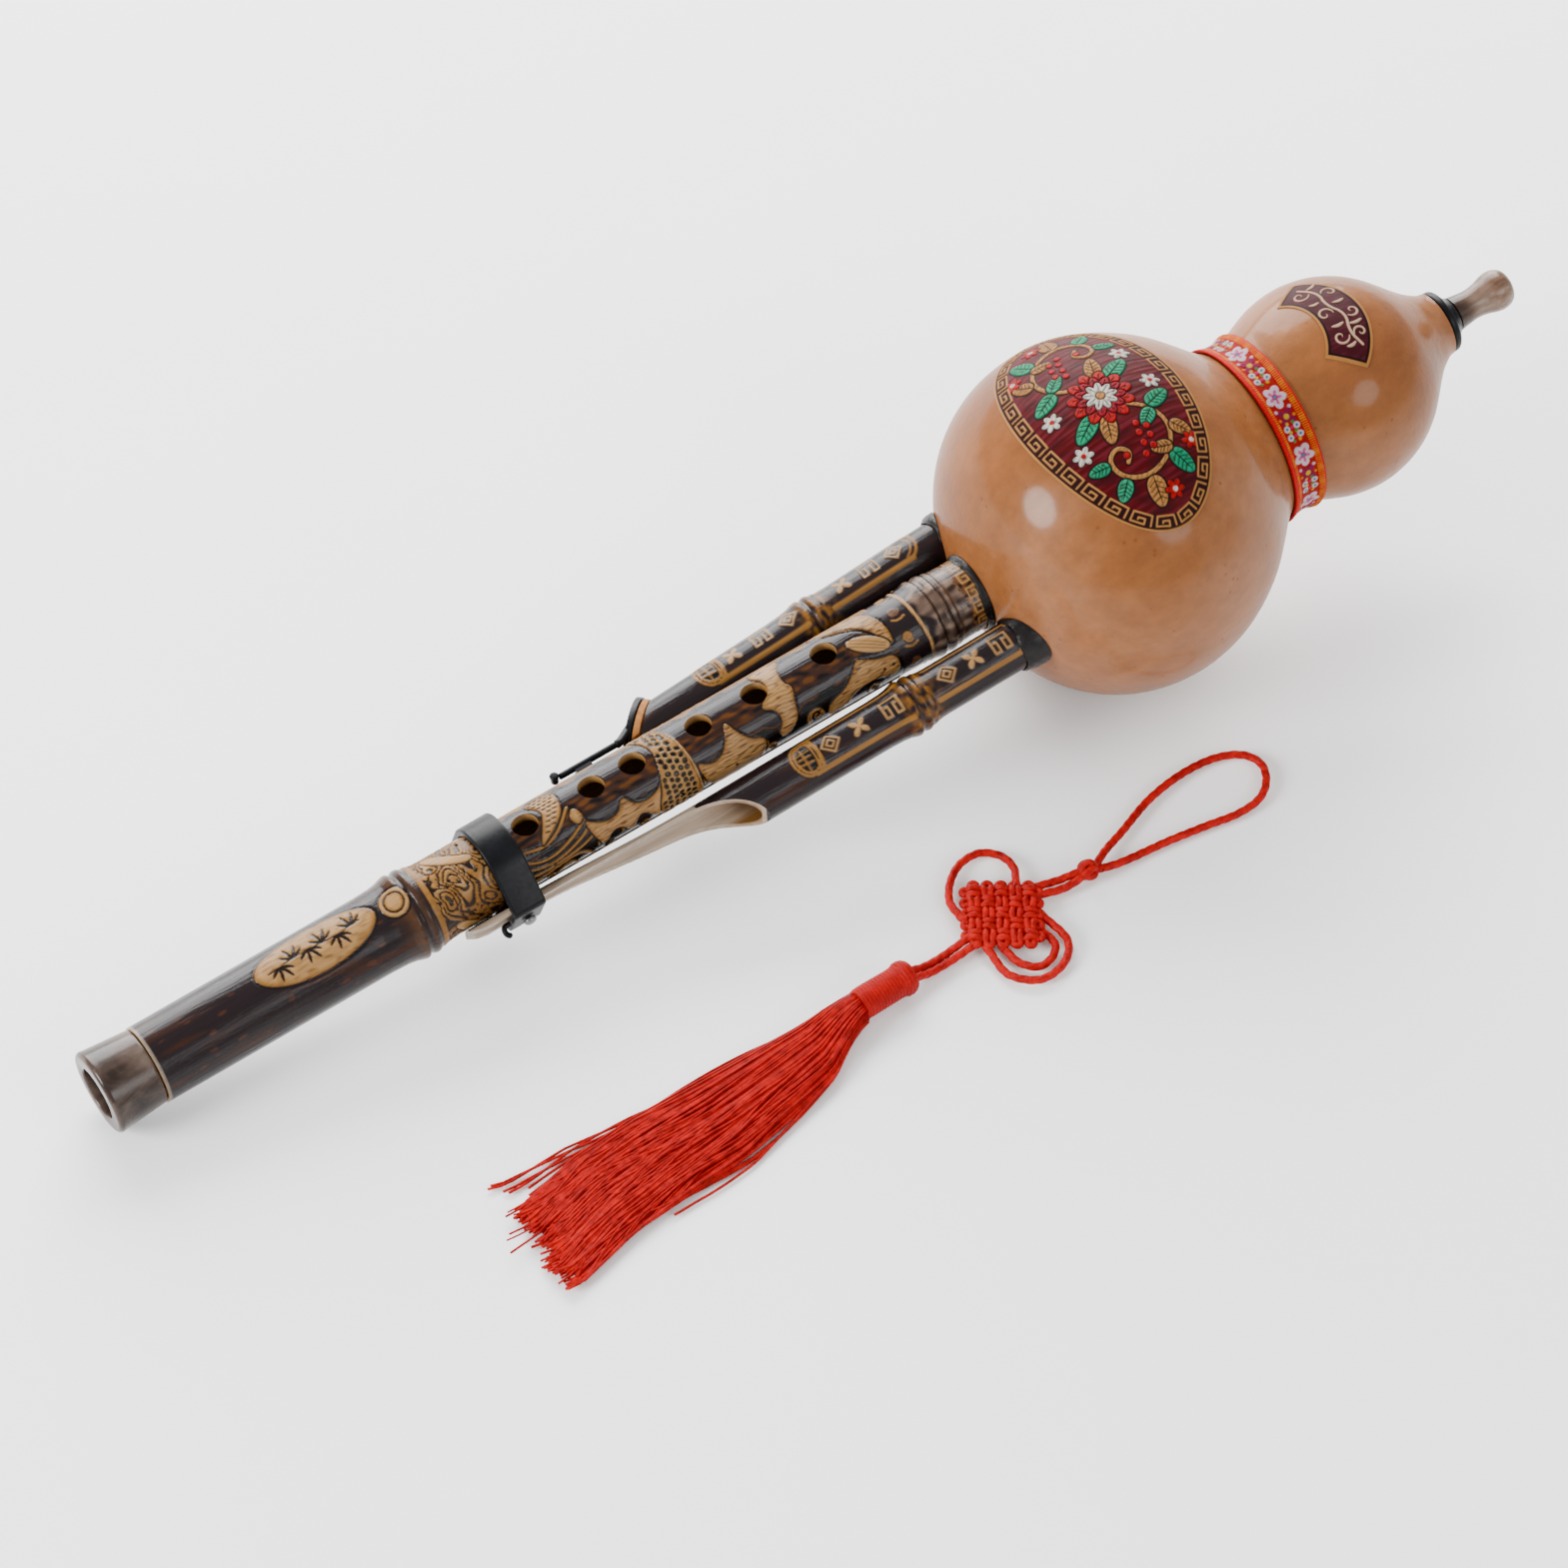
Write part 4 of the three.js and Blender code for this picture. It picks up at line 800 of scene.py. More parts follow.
# ---------------------------------------------------------------- ribbon round the waist
RIB_HALF = 5.4
RIB_R = WAIST_R + 1.6
RIB_FIT = -0.3      # inset of the skin that the ribbon's inner face follows
rib_x = np.linspace(WAIST - RIB_HALF, WAIST + RIB_HALF, 40)
rib_in = np.stack([rib_x, gourd_radius(rib_x, RIB_FIT) + 0.075], 1)
edge = np.clip((RIB_HALF - np.abs(rib_x - WAIST)) / 0.9, 0, 1)
rib_out = rib_in + np.stack([np.zeros(40), 0.55 + 0.6 * np.sqrt(1 - (1 - edge) ** 2)], 1)
points, quads = turned(np.vstack([rib_in, rib_out[::-1]]), 760)
ribbon = build("ribbon", place(points), [quads])
settle(ribbon, "waist_ribbon")
co = turn_back(points_of(ribbon))
REPEAT = 2 * math.pi / 9
arc = (np.arctan2(-co[:, 1], co[:, 2]) % REPEAT) * RIB_R
at = co[:, 0] - (WAIST - RIB_HALF)
weave = Paint(at, arc, "#e03a16")
PERIOD = REPEAT * RIB_R
MIDDLE = 5.5      # the row of flowers, from the ribbon's edge
every = np.arange(len(at))
weave.height += 0.05 * np.cos(2 * np.pi * arc / (PERIOD / 36))
weave.lay(every, (np.abs(at - 2.0) < 0.35) * 1.0, colour="#d8341a", lift=0.12)
weave.lay(every, (np.abs(at - 9.3) < 0.75) * 1.0, colour="#d8341a", lift=0.15)
stitch = np.cos(2 * np.pi * arc / (PERIOD / 27))
weave.lay(every, (np.abs(at - 9.3) < 0.75) * np.clip(stitch * 2 + 0.2, 0, 1), colour="#f0a23c", lift=0.12)
weave.lay(every, (np.abs(at - 2.0) < 0.45) * np.clip(stitch * 2 + 0.3, 0, 1), colour="#f2b04c")
worked = (at > 2.6) & (at < 8.4)
weave.lay(every, worked * 1.0, colour="#b3122f")


def white_flower(c):
    for a in angles(5, 0.3):
        weave.oval(polar((MIDDLE, c), a, 1.75, 2.1), 1.5, 1.25, a, colour="#f7e2ea", height=0.2)
        weave.oval(polar((MIDDLE, c), a, 1.2, 1.45), 0.8, 0.5, a, colour="#e07ba2")
    weave.disc((MIDDLE, c), 0.85, colour="#b23a7a", height=0.25)
    weave.disc((MIDDLE, c), 0.45, colour="#3f9aa8", height=0.25)


def dark_flower(c):
    for a in angles(4, 0.78):
        weave.oval(polar((MIDDLE, c), a, 1.5, 1.6), 1.35, 0.95, a, colour="#8c0f4e", height=0.2)
    weave.disc((MIDDLE, c), 0.8, colour="#e9c34a", height=0.25)
    for side in (-1, 1):
        weave.disc((MIDDLE + 2.3 * side, c + 0.4), 0.42, colour="#f0a23c", height=0.2)
        weave.disc((MIDDLE + 2.2 * side, c - 2.2), 0.5, colour="#f2d3dd", height=0.2)


def knots(c):
    for side in (-1, 1):
        for u, v, radius, tone in ((1.6 * side, 0, 0.95, "#f4e6ee"), (1.6 * side, 0, 0.42, "#2a7f92"),
                                   (0.9 * side, 1.35 * side, 0.5, "#efc04a"),
                                   (-0.9 * side, 1.35 * side, 0.45, "#4f9a56")):
            weave.disc((MIDDLE + u, c + v), radius, colour=tone, height=0.18)
    weave.disc((MIDDLE, c), 0.55, colour="#d9256b", height=0.18)


for shift in (-PERIOD, 0, PERIOD):
    for q, figure in ((1.6, knots), (4.2, knots), (10.4, white_flower), (16.6, dark_flower)):
        figure(q + shift)
threads = np.cos(2 * np.pi * at / 0.62) * np.cos(2 * np.pi * arc / 0.9)
weave.colour *= np.where(worked, 1 + 0.14 * threads, 1 + 0.1 * np.cos(2 * np.pi * arc / 0.7))[:, None]
radius = np.hypot(co[:, 1], co[:, 2])
outer_side = radius > gourd_radius(co[:, 0], RIB_FIT) + 0.4
lift = np.where(outer_side, weave.height, 0)
co[:, 1:] *= (1 + lift / radius)[:, None]
move_points(ribbon, place(co))
show_paint(ribbon, with_gold(weave))
ribbon_look = Look("ribbon_braid", Roughness=0.7, Specular_IOR_Level=0.1)
layer = ribbon_look.add("ShaderNodeVertexColor", layer_name="paint")
fuzz = ribbon_look.noise(ribbon_look.stretch((1500, 1500, 1500)), 1.0, 3.0, 0.6)
shade = ribbon_look.ramp(fuzz, [(0.3, 0.82), (0.7, 1.1)])
ribbon_look.colour(ribbon_look.mix(1.0, layer.outputs["Color"], shade, "MULTIPLY"))
ribbon_look.bump((fuzz, 0.00015))
wear(ribbon, ribbon_look)
run = 2 * math.pi * float(gourd_radius(np.array(WAIST), RIB_FIT) + 0.7) / 1000


# ---------------------------------------------------------------- collar and mouthpiece
# collar: a plug in the neck, and a flange that narrows over its height
PLUG, PLUG_R, COLLAR_BORE = 8, 5.9, 3.5
COLLAR, FLANGE_R, TOP_R = 5.3, 9.4, 5.3
flange = NECK_END + FIT
top = [(flange + COLLAR * k, TOP_R + (FLANGE_R - TOP_R) * o)
       for k, o in ((0.35, 1), (0.5, 0.72), (0.6, 0.46), (0.8, 0.16), (1, 0))]
outline = [(NECK_END - PLUG, COLLAR_BORE), (NECK_END - PLUG, PLUG_R), (flange, PLUG_R), (flange, FLANGE_R), *top,
           (flange + COLLAR, COLLAR_BORE)]
points, quads = turned(softened(outline, 0.7, 4), 96)
collar = instrument_piece("collar", points, [quads], "mouthpiece_collar", sharp=40)

# mouthpiece: a shank in the collar, and a bell outside it
SHANK, SHANK_R, AIR_R = 9, 3.2, 1.7
BELL, BELL_R = 19, 6
start = flange + FIT + COLLAR
shares = [(0, 0.86), (0.16, 0.79), (0.34, 0.74), (0.52, 0.82), (0.66, 0.95), (0.77, 1), (0.87, 0.95), (0.95, 0.8),
          (0.99, 0.6)]
bell = route([(start + BELL * k, BELL_R * o, 0) for k, o in shares], 0.35)[0][:, :2]
outline = np.vstack([[(start - SHANK, AIR_R), (start - SHANK, SHANK_R), (start, SHANK_R)], bell,
                     [(start + BELL, 2.9), (start + BELL - 0.02, 2.3), (start + BELL - 0.4, AIR_R)]])
points, quads = turned(outline, 96)
mouthpiece = instrument_piece("mouthpiece_horn", points, [quads], "mouthpiece", sharp=50)


# ---------------------------------------------------------------- melody pipe
def hole_cutter(x, radius, turn, reach=15.0, sides=48):
    """A slightly flared cutter pointing outward from the axis."""
    surface = float(pipe_radius(x))
    a, rings = circle(sides), []
    for out, wide in ((0.0, 0), (surface - 0.45, 0), (surface - 0.1, 0.16), (surface + 0.1, 0.42), (reach, 0.42)):
        p, q = (radius + wide) * np.cos(a), (radius + wide) * np.sin(a)
        rings.append(np.stack([x + p, q * math.cos(turn) - out * math.sin(turn),
                               out * math.cos(turn) + q * math.sin(turn)], 1))
    co, *faces = capped(rings)
    return build("cutter", place(co), faces)


def box_cutter(a, b, drone=None):
    """A box from corner a to corner b, round the axis or on a drone's straight line."""
    co = np.array([(x, y, z) for x in (a[0], b[0]) for y in (a[1], b[1]) for z in (a[2], b[2])], float)
    if drone:
        co = leaned(drone, co)
    quads = [(0, 1, 3, 2), (4, 6, 7, 5), (0, 4, 5, 1), (2, 3, 7, 6), (0, 2, 6, 4), (1, 5, 7, 3)]
    return build("cutter", place(co), [np.array(quads)])


def reed_seat(radius, half, side, window, top, drone=None):
    """Cutters of a reed plate's seat and of the window under it."""
    long, wide = window[0] / 2, window[1] / 2
    return [box_cutter((REED - half, -side, radius - SINK), (REED + half, side, top), drone),
            box_cutter((REED - long, -wide, 0), (REED + long, wide, top), drone)]


dense = np.arange(15.8, 286.0, 0.35)
outline = np.vstack([
    [(3.5, PIPE_BORE), (3.5, 9.2), (15.75, 9.2)],
    np.stack([dense, pipe_radius(dense)], 1),
    [(300, PIPE_UP), (343, PIPE_UP), (343, PIPE_BORE)],
    [(x, PIPE_BORE) for x in np.arange(338, 4, -6.0)],
])
points, quads = turned(outline, 210)
pipe = build("melody_pipe_bamboo", place(points), [quads])
BACK = math.pi
cutters = [hole_cutter(x, HOLE_R, 0.0) for x in HOLES]
cutters += [hole_cutter(x, radius, turn) for x, radius, turn in (
    (249, HOLE_R, BACK), (84, 3.2, BACK), (66, 1.7, BACK - 0.75), (66, 1.7, BACK + 0.75))]
cut(pipe, cutters + reed_seat(PIPE_UP, 12.3, 12.55, (19, 4), 14))


# ---------------------------------------------------------------- drones
def section_loft(d, stations, corners):
    """A closed loft of one section, given as (out, up) corners at each station."""
    return capped([drone_point(d, np.full(len(c), x), *np.array(c, float).T) for x, c in zip(stations, corners)])


def round_loft(d, stations, radius, sides):
    a = circle(sides) + np.pi / sides
    return section_loft(d, stations, [np.stack([r * np.cos(a), r * np.sin(a)], 1) for r in radius])


def drone_outer(d, x):
    return DRONE_R + node_form(x, d["node"], 1.15, 0.9)


def make_drone(name):
    """A bamboo drone: bored, cut slantwise to its tongue, with the reed's seat."""
    d = DRONES[name]
    stations = np.r_[np.arange(109, 288, 0.4), 300, 341]
    co, *faces = round_loft(d, stations, drone_outer(d, stations), 120)
    piece = build(name + "_drone_bamboo", place(co), faces)
    bore_at = np.r_[107, 112, 115, np.arange(131, 184, 3), 200, 343]
    co, *faces = round_loft(d, bore_at, np.full(len(bore_at), DRONE_BORE), 72)
    bore = build("cutter", place(co), faces)
    a, b = d["cut"]
    at = np.r_[107, 109, 112, 115, np.arange(131, a - 1, 2.5), np.linspace(a, b, 40)]
    reach = 9.2
    co, *faces = section_loft(d, at, [[(level, -reach), (reach, -reach), (reach, reach), (level, reach)]
                                      for level in mouth_level(d, at) - DRONE_R])
    mouth = build("cutter", place(co), faces)
    return cut(piece, [bore, mouth, *reed_seat(DRONE_R, 10.3, DRONE_R + 2, (16, 3.4), DRONE_R + 3, d)])


near_drone, far_drone = make_drone("near"), make_drone("far")


# ---------------------------------------------------------------- carving of the pipes
GOLD, PALE_GOLD, DEEP_GOLD = "#a67c52", "#c6a078", "#694730"
LACQUER, BLACK, BROWN, RUST = "#261d1f", "#0f0b0c", "#3f2920", "#50301f"
VIEW_TURN = math.radians(33)


def wall_turn(y, z):
    """Turn round the axis, counted from the line that faces the camera."""
    turn = np.arctan2(-y, z) - VIEW_TURN
    return (turn + np.pi) % (2 * np.pi) - np.pi


SCALES = [(173, -16.6), (179, -16.6), (183.6, -8), (185, 0), (185.4, 8), (186, 16.6), (173.5, 16.6), (172.6, 10),
          (174.6, 5), (176.6, -1), (177.6, -6), (176, -11)]
MAZE = [(138, -12.6), (148.4, -13), (148, -7), (146.7, -3.4), (143.4, -1.2), (139.4, 1.2), (137, 2.2), (140.8, -3.4),
        (142.6, -7)]
DIAMOND = [(147.6, -0.8), (149.8, -3.6), (151.8, 0.2), (149.2, 2)]
FINS = [
    [(150.6, 1.4), (153.2, 3.4), (157, 5.2), (161, 4.6), (163.3, 0.6), (165.4, 4.4), (169.5, 5.8), (174, 4.2),
     (176.5, 1.8), (177.5, 9), (176, 14.5), (171, 12.8), (168.5, 9), (166, 8.2), (163.5, 12.8), (160, 8.6),
     (157, 8.8), (154.5, 12.4), (152.2, 8)],
    [(186, 3), (190, 6), (194, 5.4), (197, 1.5), (198.6, -3.4), (200.6, 1.6), (203.5, 5.2), (207, 6.6),
     (207.5, 9), (205, 14.5), (196, 16), (191, 15.4), (188, 11.5)],
    [(213, -14), (219.5, -15), (222.4, -12.5), (219.8, -9), (218.8, -4), (220.8, -2), (219, 2), (218.4, 7),
     (214, 10.6), (211.5, 9), (214.2, 5), (213.2, 1), (209.4, -0.6), (213.6, -3.6), (215, -8), (212.2, -11)],
    [(228, 8.4), (234, 6.5), (238, 3), (240, 0.4), (242, 1.6), (246, 3.6), (251.2, 4.4), (251.6, 9.6), (249, 11),
     (243, 8.2), (236, 9), (231, 14), (227.4, 13)],
]
SWEEP = [(231, -15.5), (243, -15.4), (249.5, -12.4), (252.4, -5), (252.4, 1.6), (250, 0.6), (248, -4.5),
         (243.4, -8.5), (237, -11.2)]
FLOW = [
    [(130.6, 3.6), (134, 5.6), (139, 6.4), (145, 4.6), (151, 1.4)],
    [(130.6, 6.2), (134.5, 7.9), (140.5, 8.2), (147, 6.2), (152, 3.4)],
    [(130.6, 9), (135, 9.7), (141, 9.2), (147, 8.4), (152, 6.6)],
    [(131, 11.6), (137, 11), (142, 10), (146.5, 9.8), (149.4, 11.5), (151, 14)],
    [(139, 13.4), (142.6, 11.4), (145, 12.2), (146, 15)],
    [(132, 1.2), (138, 2.6), (143.4, 0.6), (148.6, -4)],
]
CURLS = [(137.5, 13.6, 1.4), (156.5, 15.2, 1.9), (168, 14.4, 2.1), (189.5, 9.6, 1.6), (209.4, 12.6, 2.3),
         (224, 9.6, 2.3), (233.5, 11.4, 1.5), (243, 12.6, 2.4)]


def carve_upper(p):
    """Scaled body, fins and curls along the stretch with the finger holes."""
    u, v = p.u, p.v
    strip = np.flatnonzero((u > 131) & (u < 252) & (v > -6.2) & (v < 1.2))
    blots = speckle(u[strip], v[strip], 2.6, 5, 2.2)
    share = np.clip((v[strip] + 5.6) / 1.2, 0, 1) * np.clip((0.9 - v[strip]) / 1.2, 0, 1)
    p.lay(strip, share * 0.9, colour=BROWN, height=-0.1)
    p.lay(strip, share * np.clip(blots - 0.2, 0, 1) * 0.8, colour="#70492f")
    p.lay(strip, share * np.clip(-blots - 0.5, 0, 1), colour=BLACK)
    low = np.flatnonzero((u > 130.8) & (u < 252.6) & (v > 3.4))
    edge = 4.4 + 1.3 * np.sin(u[low] * 0.21 + 0.6) + 0.5 * np.sin(u[low] * 0.9)
    p.lay(low, np.clip((v[low] - edge) / 0.3, 0, 1), colour=BLACK, height=-0.25)
    rim = np.abs(v[low] - edge) < 0.32
    p.lay(low[rim], np.full(rim.sum(), 0.75), colour=DEEP_GOLD, gold=0.7)
    top = np.flatnonzero((u > 131) & (u < 252) & (v < -11.2))
    wave = -13.2 + 0.9 * np.sin(u[top] * 0.33 + 1) + 0.6 * np.sin(u[top] * 0.83)
    p.lay(top, np.clip((wave - v[top]) / 0.3, 0, 1), colour=GOLD, height=0.15, gold=1)
    dark = np.clip(1 - np.abs(v[top] - wave - 1.1) / (0.75 + 0.35 * np.sin(u[top] * 0.61)), 0, 1)
    p.lay(top, dark * 2, colour=BLACK, height=-0.2, gold=0)
    p.lay(top, np.clip((np.cos((v[top] - wave) * 3.4) - 0.75) * 3, 0, 1) * (v[top] < wave - 0.5), colour=DEEP_GOLD)
    for line in FLOW:
        p.stroke(line, 1.35, colour=BLACK, height=-0.2)
        p.stroke(line, 0.75, colour=GOLD, height=0.15, gold=1)
    p.disc((138.8, 8.9), 1.15, colour=GOLD, gold=1)
    p.disc((138.8, 8.9), 0.6, colour=BLACK, gold=0)
    for cu, cv, r in CURLS:
        p.stroke(swirl((cu, cv), r, 1.35, 2.6), 0.5, smooth=1, colour=GOLD, height=0.05, gold=1)
    for x0, x1 in ((152.6, 155), (160.5, 163.8), (187, 192), (204, 208), (221, 226)):
        p.stroke([(x0, 11.4), (x0 + 0.2, 8.2), ((x0 + x1) / 2, 7.2), (x1 - 0.2, 8.4), (x1, 11.6)], 0.5, colour=GOLD,
                 height=0.05, gold=1)
    for shape in [*FINS, SWEEP, MAZE, DIAMOND]:
        p.polygon(shape, grow=0.55, colour=BLACK, height=-0.15, gold=0)
    for shape in [*FINS, SWEEP, MAZE, DIAMOND]:
        p.polygon(shape, colour=GOLD, height=0.28, gold=1)
        p.polygon(shape, grow=-0.7, soft=1.2, colour=PALE_GOLD)
    hatch = np.flatnonzero((p.gold > 0.9) & (u > 150) & (u < 253) & ~((u > 171) & (u < 187)))
    rub = 1.1 * speckle(u[hatch], v[hatch], 2.2, 19, 2.5)
    hatching = 0.75 * np.cos(2 * np.pi * v[hatch] / 1.05 + rub) - 0.1
    p.lay(hatch, np.clip(hatching, 0, 0.75), colour=DEEP_GOLD, lift=-0.05)
    p.mottle(hatch, 1.3, 20, 1, -0.7, 0.9, 3, colour="#4a2d16")
    p.stroke([(228.5, -15), (236, -12.6), (243, -9.4), (247.6, -4.8), (250, 0)], 0.5, colour=BLACK, height=0, gold=0)
    p.oval((245.5, -1.6), 6.8, 2.8, 0.52, colour=BLACK, height=-0.1, gold=0)
    p.oval((245.5, -1.6), 6.2, 2.3, 0.52, colour=PALE_GOLD, height=0.3, gold=1)
    for k in (-0.8, 0.1, 1.0):
        p.stroke([(240.8 - 0.4 * k, -4.4 + k), (245.6 - 0.4 * k, -1.6 + k), (249.6 - 0.4 * k, 1 + k * 0.7)], 0.24,
                 colour=DEEP_GOLD)
    p.polygon(SCALES, grow=0.55, colour=BLACK, height=-0.15, gold=0)
    p.polygon(SCALES, colour=GOLD, height=0.28, gold=1)
    p.polygon(SCALES, grow=-1, soft=2, colour="#b39069")
    dots = np.random.default_rng(27)
    for i in range(11):
        for j in range(-9, 10):
            cu, cv = 170.4 + 1.9 * i + dots.normal(0, 0.13), 1.95 * j + 0.95 * (i % 2) + dots.normal(0, 0.13)
            if depth_in(SCALES, cu, cv) > 0.6:
                p.oval((cu, cv), dots.uniform(0.76, 0.92), dots.uniform(0.6, 0.8), dots.uniform(0, 3), soft=0.25,
                       colour="#140b08", height=-0.1, gold=0)
    p.stroke([(186.3, 16.6), (185.9, 8), (185.4, 0), (184, -8), (179.6, -16.6)], 0.5, colour=PALE_GOLD, height=0.3,
             gold=1)
    for i in range(7):
        for j in range(-8, 3):
            cu, cv = 138 + 1.75 * i + 0.85 * (j % 2), 1.25 * j - 2.0
            if depth_in(MAZE, cu, cv) > 0.5:
                p.stroke([(cu - 0.55, cv), (cu + 0.45, cv + 0.12)], 0.5, soft=0.3, colour="#1d100b", height=0.0, gold=0)
    for pit in ((197.3, 10.4), (246.6, 7), (249.6, 7)):
        p.disc(pit, 0.5, colour=BLACK, gold=0)


def carve_end(p):
    """Small clouds, a thin gold ring, bare bark and fretwork next to the gourd."""
    u, v = p.u, p.v
    half = PIPE_UP * math.pi / 2      # half of the arc over which the pattern repeats
    for k in range(8):
        c = (-14.5 + k * 8.29 + half) % (2 * half) - half
        p.stroke(swirl((256.6, c), 1.5, 1.1, 1.2 + k), 0.55, smooth=1, colour=DEEP_GOLD if k % 2 else GOLD,
                 height=0.1, gold=1)
        p.stroke([(254.8, c + 2.2), (256.6, c + 3.1), (258.6, c + 2.4)], 0.5, colour=GOLD, height=0.1, gold=1)
    bend = 260.2 + 1.9 * np.clip((v + 14) / 20, 0, 1)
    p.lay(np.arange(len(u)), 1 - np.clip((np.abs(u - bend) - 0.32) / 0.25, 0, 1), colour=PALE_GOLD, height=0.15, gold=1)
    bark = np.flatnonzero((u > 261) & (u < 283))
    ragged = 263 + 1.4 * np.sin(v[bark] * 0.38 + 0.4) + 0.8 * np.sin(v[bark] * 1.1)
    share = np.clip((u[bark] - ragged) / 1.2, 0, 1)
    fade = 0.55 + 0.45 * np.clip(-(v[bark] - 3) / 6, 0, 1)
    blots = speckle(u[bark], v[bark], 3.2, 11, 1.8)
    p.lay(bark, share * fade, colour="#77655b", height=0.05)
    p.lay(bark, share * np.clip(blots * 0.6, 0, 1), colour="#3a2a24")
    p.lay(bark, share * np.clip(-blots * 0.5, 0, 1), colour="#a08b7c")
    for at, tone in ((266.9, "#2a1c17"), (270.6, "#251913"), (272.6, "#5a4436")):
        p.lay(bark, 0.8 - np.clip((np.abs(u[bark] - at) - 0.3) / 0.35, 0, 0.8), colour=tone, height=-0.1)
    far_end = np.flatnonzero(u > 275.6)
    p.lay(far_end, np.clip((u[far_end] - 275.6) / 0.8, 0, 1) * 0.85, colour="#6a4632")
    p.mottle(far_end, 2.6, 17, 0.7, 0, 0.7, colour="#a67c56")
    p.mottle(far_end, 1.9, 23, -1, -0.3, 1, colour="#241713")
    for k in range(7):
        c = (-14 + 4.734 * k + half) % (2 * half) - half
        p.stroke([(281, c - 1.6), (277.6, c - 1.6), (277.6, c + 1.3), (280, c + 1.3), (280, c - 0.3), (278.8, c - 0.3)],
                 0.5, smooth=0, colour="#c9a275", height=0.1, gold=0.5)


SPRAYS = [(-11.5, 0.3, 1), (-7.2, -0.2, -1), (-2.4, -0.4, 1), (2, -0.2, -1), (6.6, 0.3, 1), (11, -0.2, -1)]


def carve_lower(p):
    """Plain lacquer with a leafy gold plaque and a ringed disc, a painted highlight on the node's ridges, then a dense
    band of curls with painted shade towards the pipe's lower side.
    """
    u, v = p.u, p.v
    plain = np.flatnonzero(u < 96)
    p.mottle(plain, 5, 3, 0.5, -0.35, 0.5, 9, colour=RUST)
    p.mottle(plain, 2.2, 4, 0.8, -1.2, 0.6, 3, colour="#5c3c2a")
    p.lay(plain, np.clip((16.6 - u[plain]) / 0.15, 0, 1), colour="#a3978c")
    centre = (69.3, -5.43)
    p.oval(centre, 19.3, 8.1, soft=0.6, colour=BLACK, height=-0.2)
    p.oval(centre, 18.6, 7.35, soft=0.3, colour=GOLD, height=0.15, gold=1)
    p.oval(centre, 17.4, 6.5, soft=1.2, colour=PALE_GOLD)
    plaque = p.near(50, 89, -13.4, 3)
    plaque = plaque[p.gold[plaque] > 0.9]
    p.mottle(plaque, 1.1, 34, 0.4, -0.15, 0.6, 5, colour=DEEP_GOLD)
    p.mottle(plaque, 3.5, 35, 0.35, -0.2, 0.4, 2, colour="#8a6238")
    ink = dict(colour="#1c120e", height=-0.1, gold=0)
    p.stroke([(centre[0] - 15, centre[1] + 0.6), (centre[0] - 5, centre[1] - 0.5), (centre[0] + 6, centre[1] + 0.4),
              (centre[0] + 14, centre[1] - 0.4)], 0.42, **ink)
    for du, dv, side in SPRAYS:
        root = (centre[0] + du, centre[1] + dv)
        for angle, long in ((0.5, 4.4), (1.05, 5), (1.75, 4.6), (2.5, 3.6)):
            du_tip, dv_tip = long * math.cos(angle), side * long * 0.92 * math.sin(angle)
            bow = (root[0] + du_tip / 2 + 0.3, root[1] + dv_tip / 2 - side * 0.35)
            p.stroke([root, bow, (root[0] + du_tip, root[1] + dv_tip)], 1.0, taper=True, **ink)
    disc = (93.9, -5.0)
    p.disc(disc, 4.7, soft=0.5, colour=BLACK, height=-0.2)
    p.disc(disc, 4.1, colour=GOLD, height=0.15, gold=1)
    p.disc(disc, 3.9, soft=0.6, colour=PALE_GOLD)
    p.disc(disc, 3.1, colour="#2c1d12", height=-0.05, gold=0)
    p.disc(disc, 2.45, colour=GOLD, height=0.15, gold=1)
    p.disc(disc, 2.0, soft=0.6, colour=PALE_GOLD)
    # lighter brown on the bamboo node's ridges: a painted highlight
    node = np.flatnonzero((u > 90) & (u < 104))
    tone = np.interp(u[node], [90, 94, 96.4, 97.6, 98.6, 99.6, 101, 101.8, 102.6, 103.4, 104],
                     [0, 0.12, 0.35, 0.12, 0, 0.25, 0.1, 0, 0.7, 0.7, 0.4])
    away = np.hypot(u[node] - disc[0], v[node] - disc[1]) > 4.8
    p.lay(node, tone * away, colour="#8a6548")
    line = np.flatnonzero((u > 101.6) & (u < 104.4))
    p.lay(line, 1 - np.clip((np.abs(u[line] - 103) - 0.7) / 0.4, 0, 1), colour=GOLD, gold=1)
    band = np.flatnonzero((u > 103.8) & (u < 121.4))
    field = speckle(u[band], v[band], 11, 8) + 0.16 * speckle(u[band], v[band], 4, 9)
    stripes = np.cos(2 * np.pi * field * 1.3)
    p.lay(band, np.ones(len(band)), colour=GOLD, height=0.0, gold=1)
    p.mottle(band, 6, 31, 0.5, 0.1, 1, colour=PALE_GOLD)
    # the band darkens towards the pipe's lower side: painted shade
    lower = np.clip((v[band] - 1) / 9, 0, 1)
    p.lay(band, lower * 0.75, colour="#6d4828")
    p.lay(band, np.clip((-stripes - 0.1) * 2.4, 0, 1), colour="#2a1a10", height=-0.3, gold=0.2)
    p.mottle(band, 1.9, 10, 3, -3.9, 1, colour="#20130c", height=-0.35, gold=0)
    half = PIPE_LOW * math.pi
    for k in range(3):
        c = (-9.5 + 24 * k + half) % (2 * half) - half
        flame = [(106, c - 4.6), (110, c - 4), (115, c + 1), (119.5, c + 3.2), (118, c + 5), (112, c + 2.6),
                 (107.6, c - 1)]
        p.polygon(flame, grow=0.35, colour="#20130c", height=-0.3, gold=0)
        p.polygon(flame, colour=PALE_GOLD, height=0.1, gold=1)


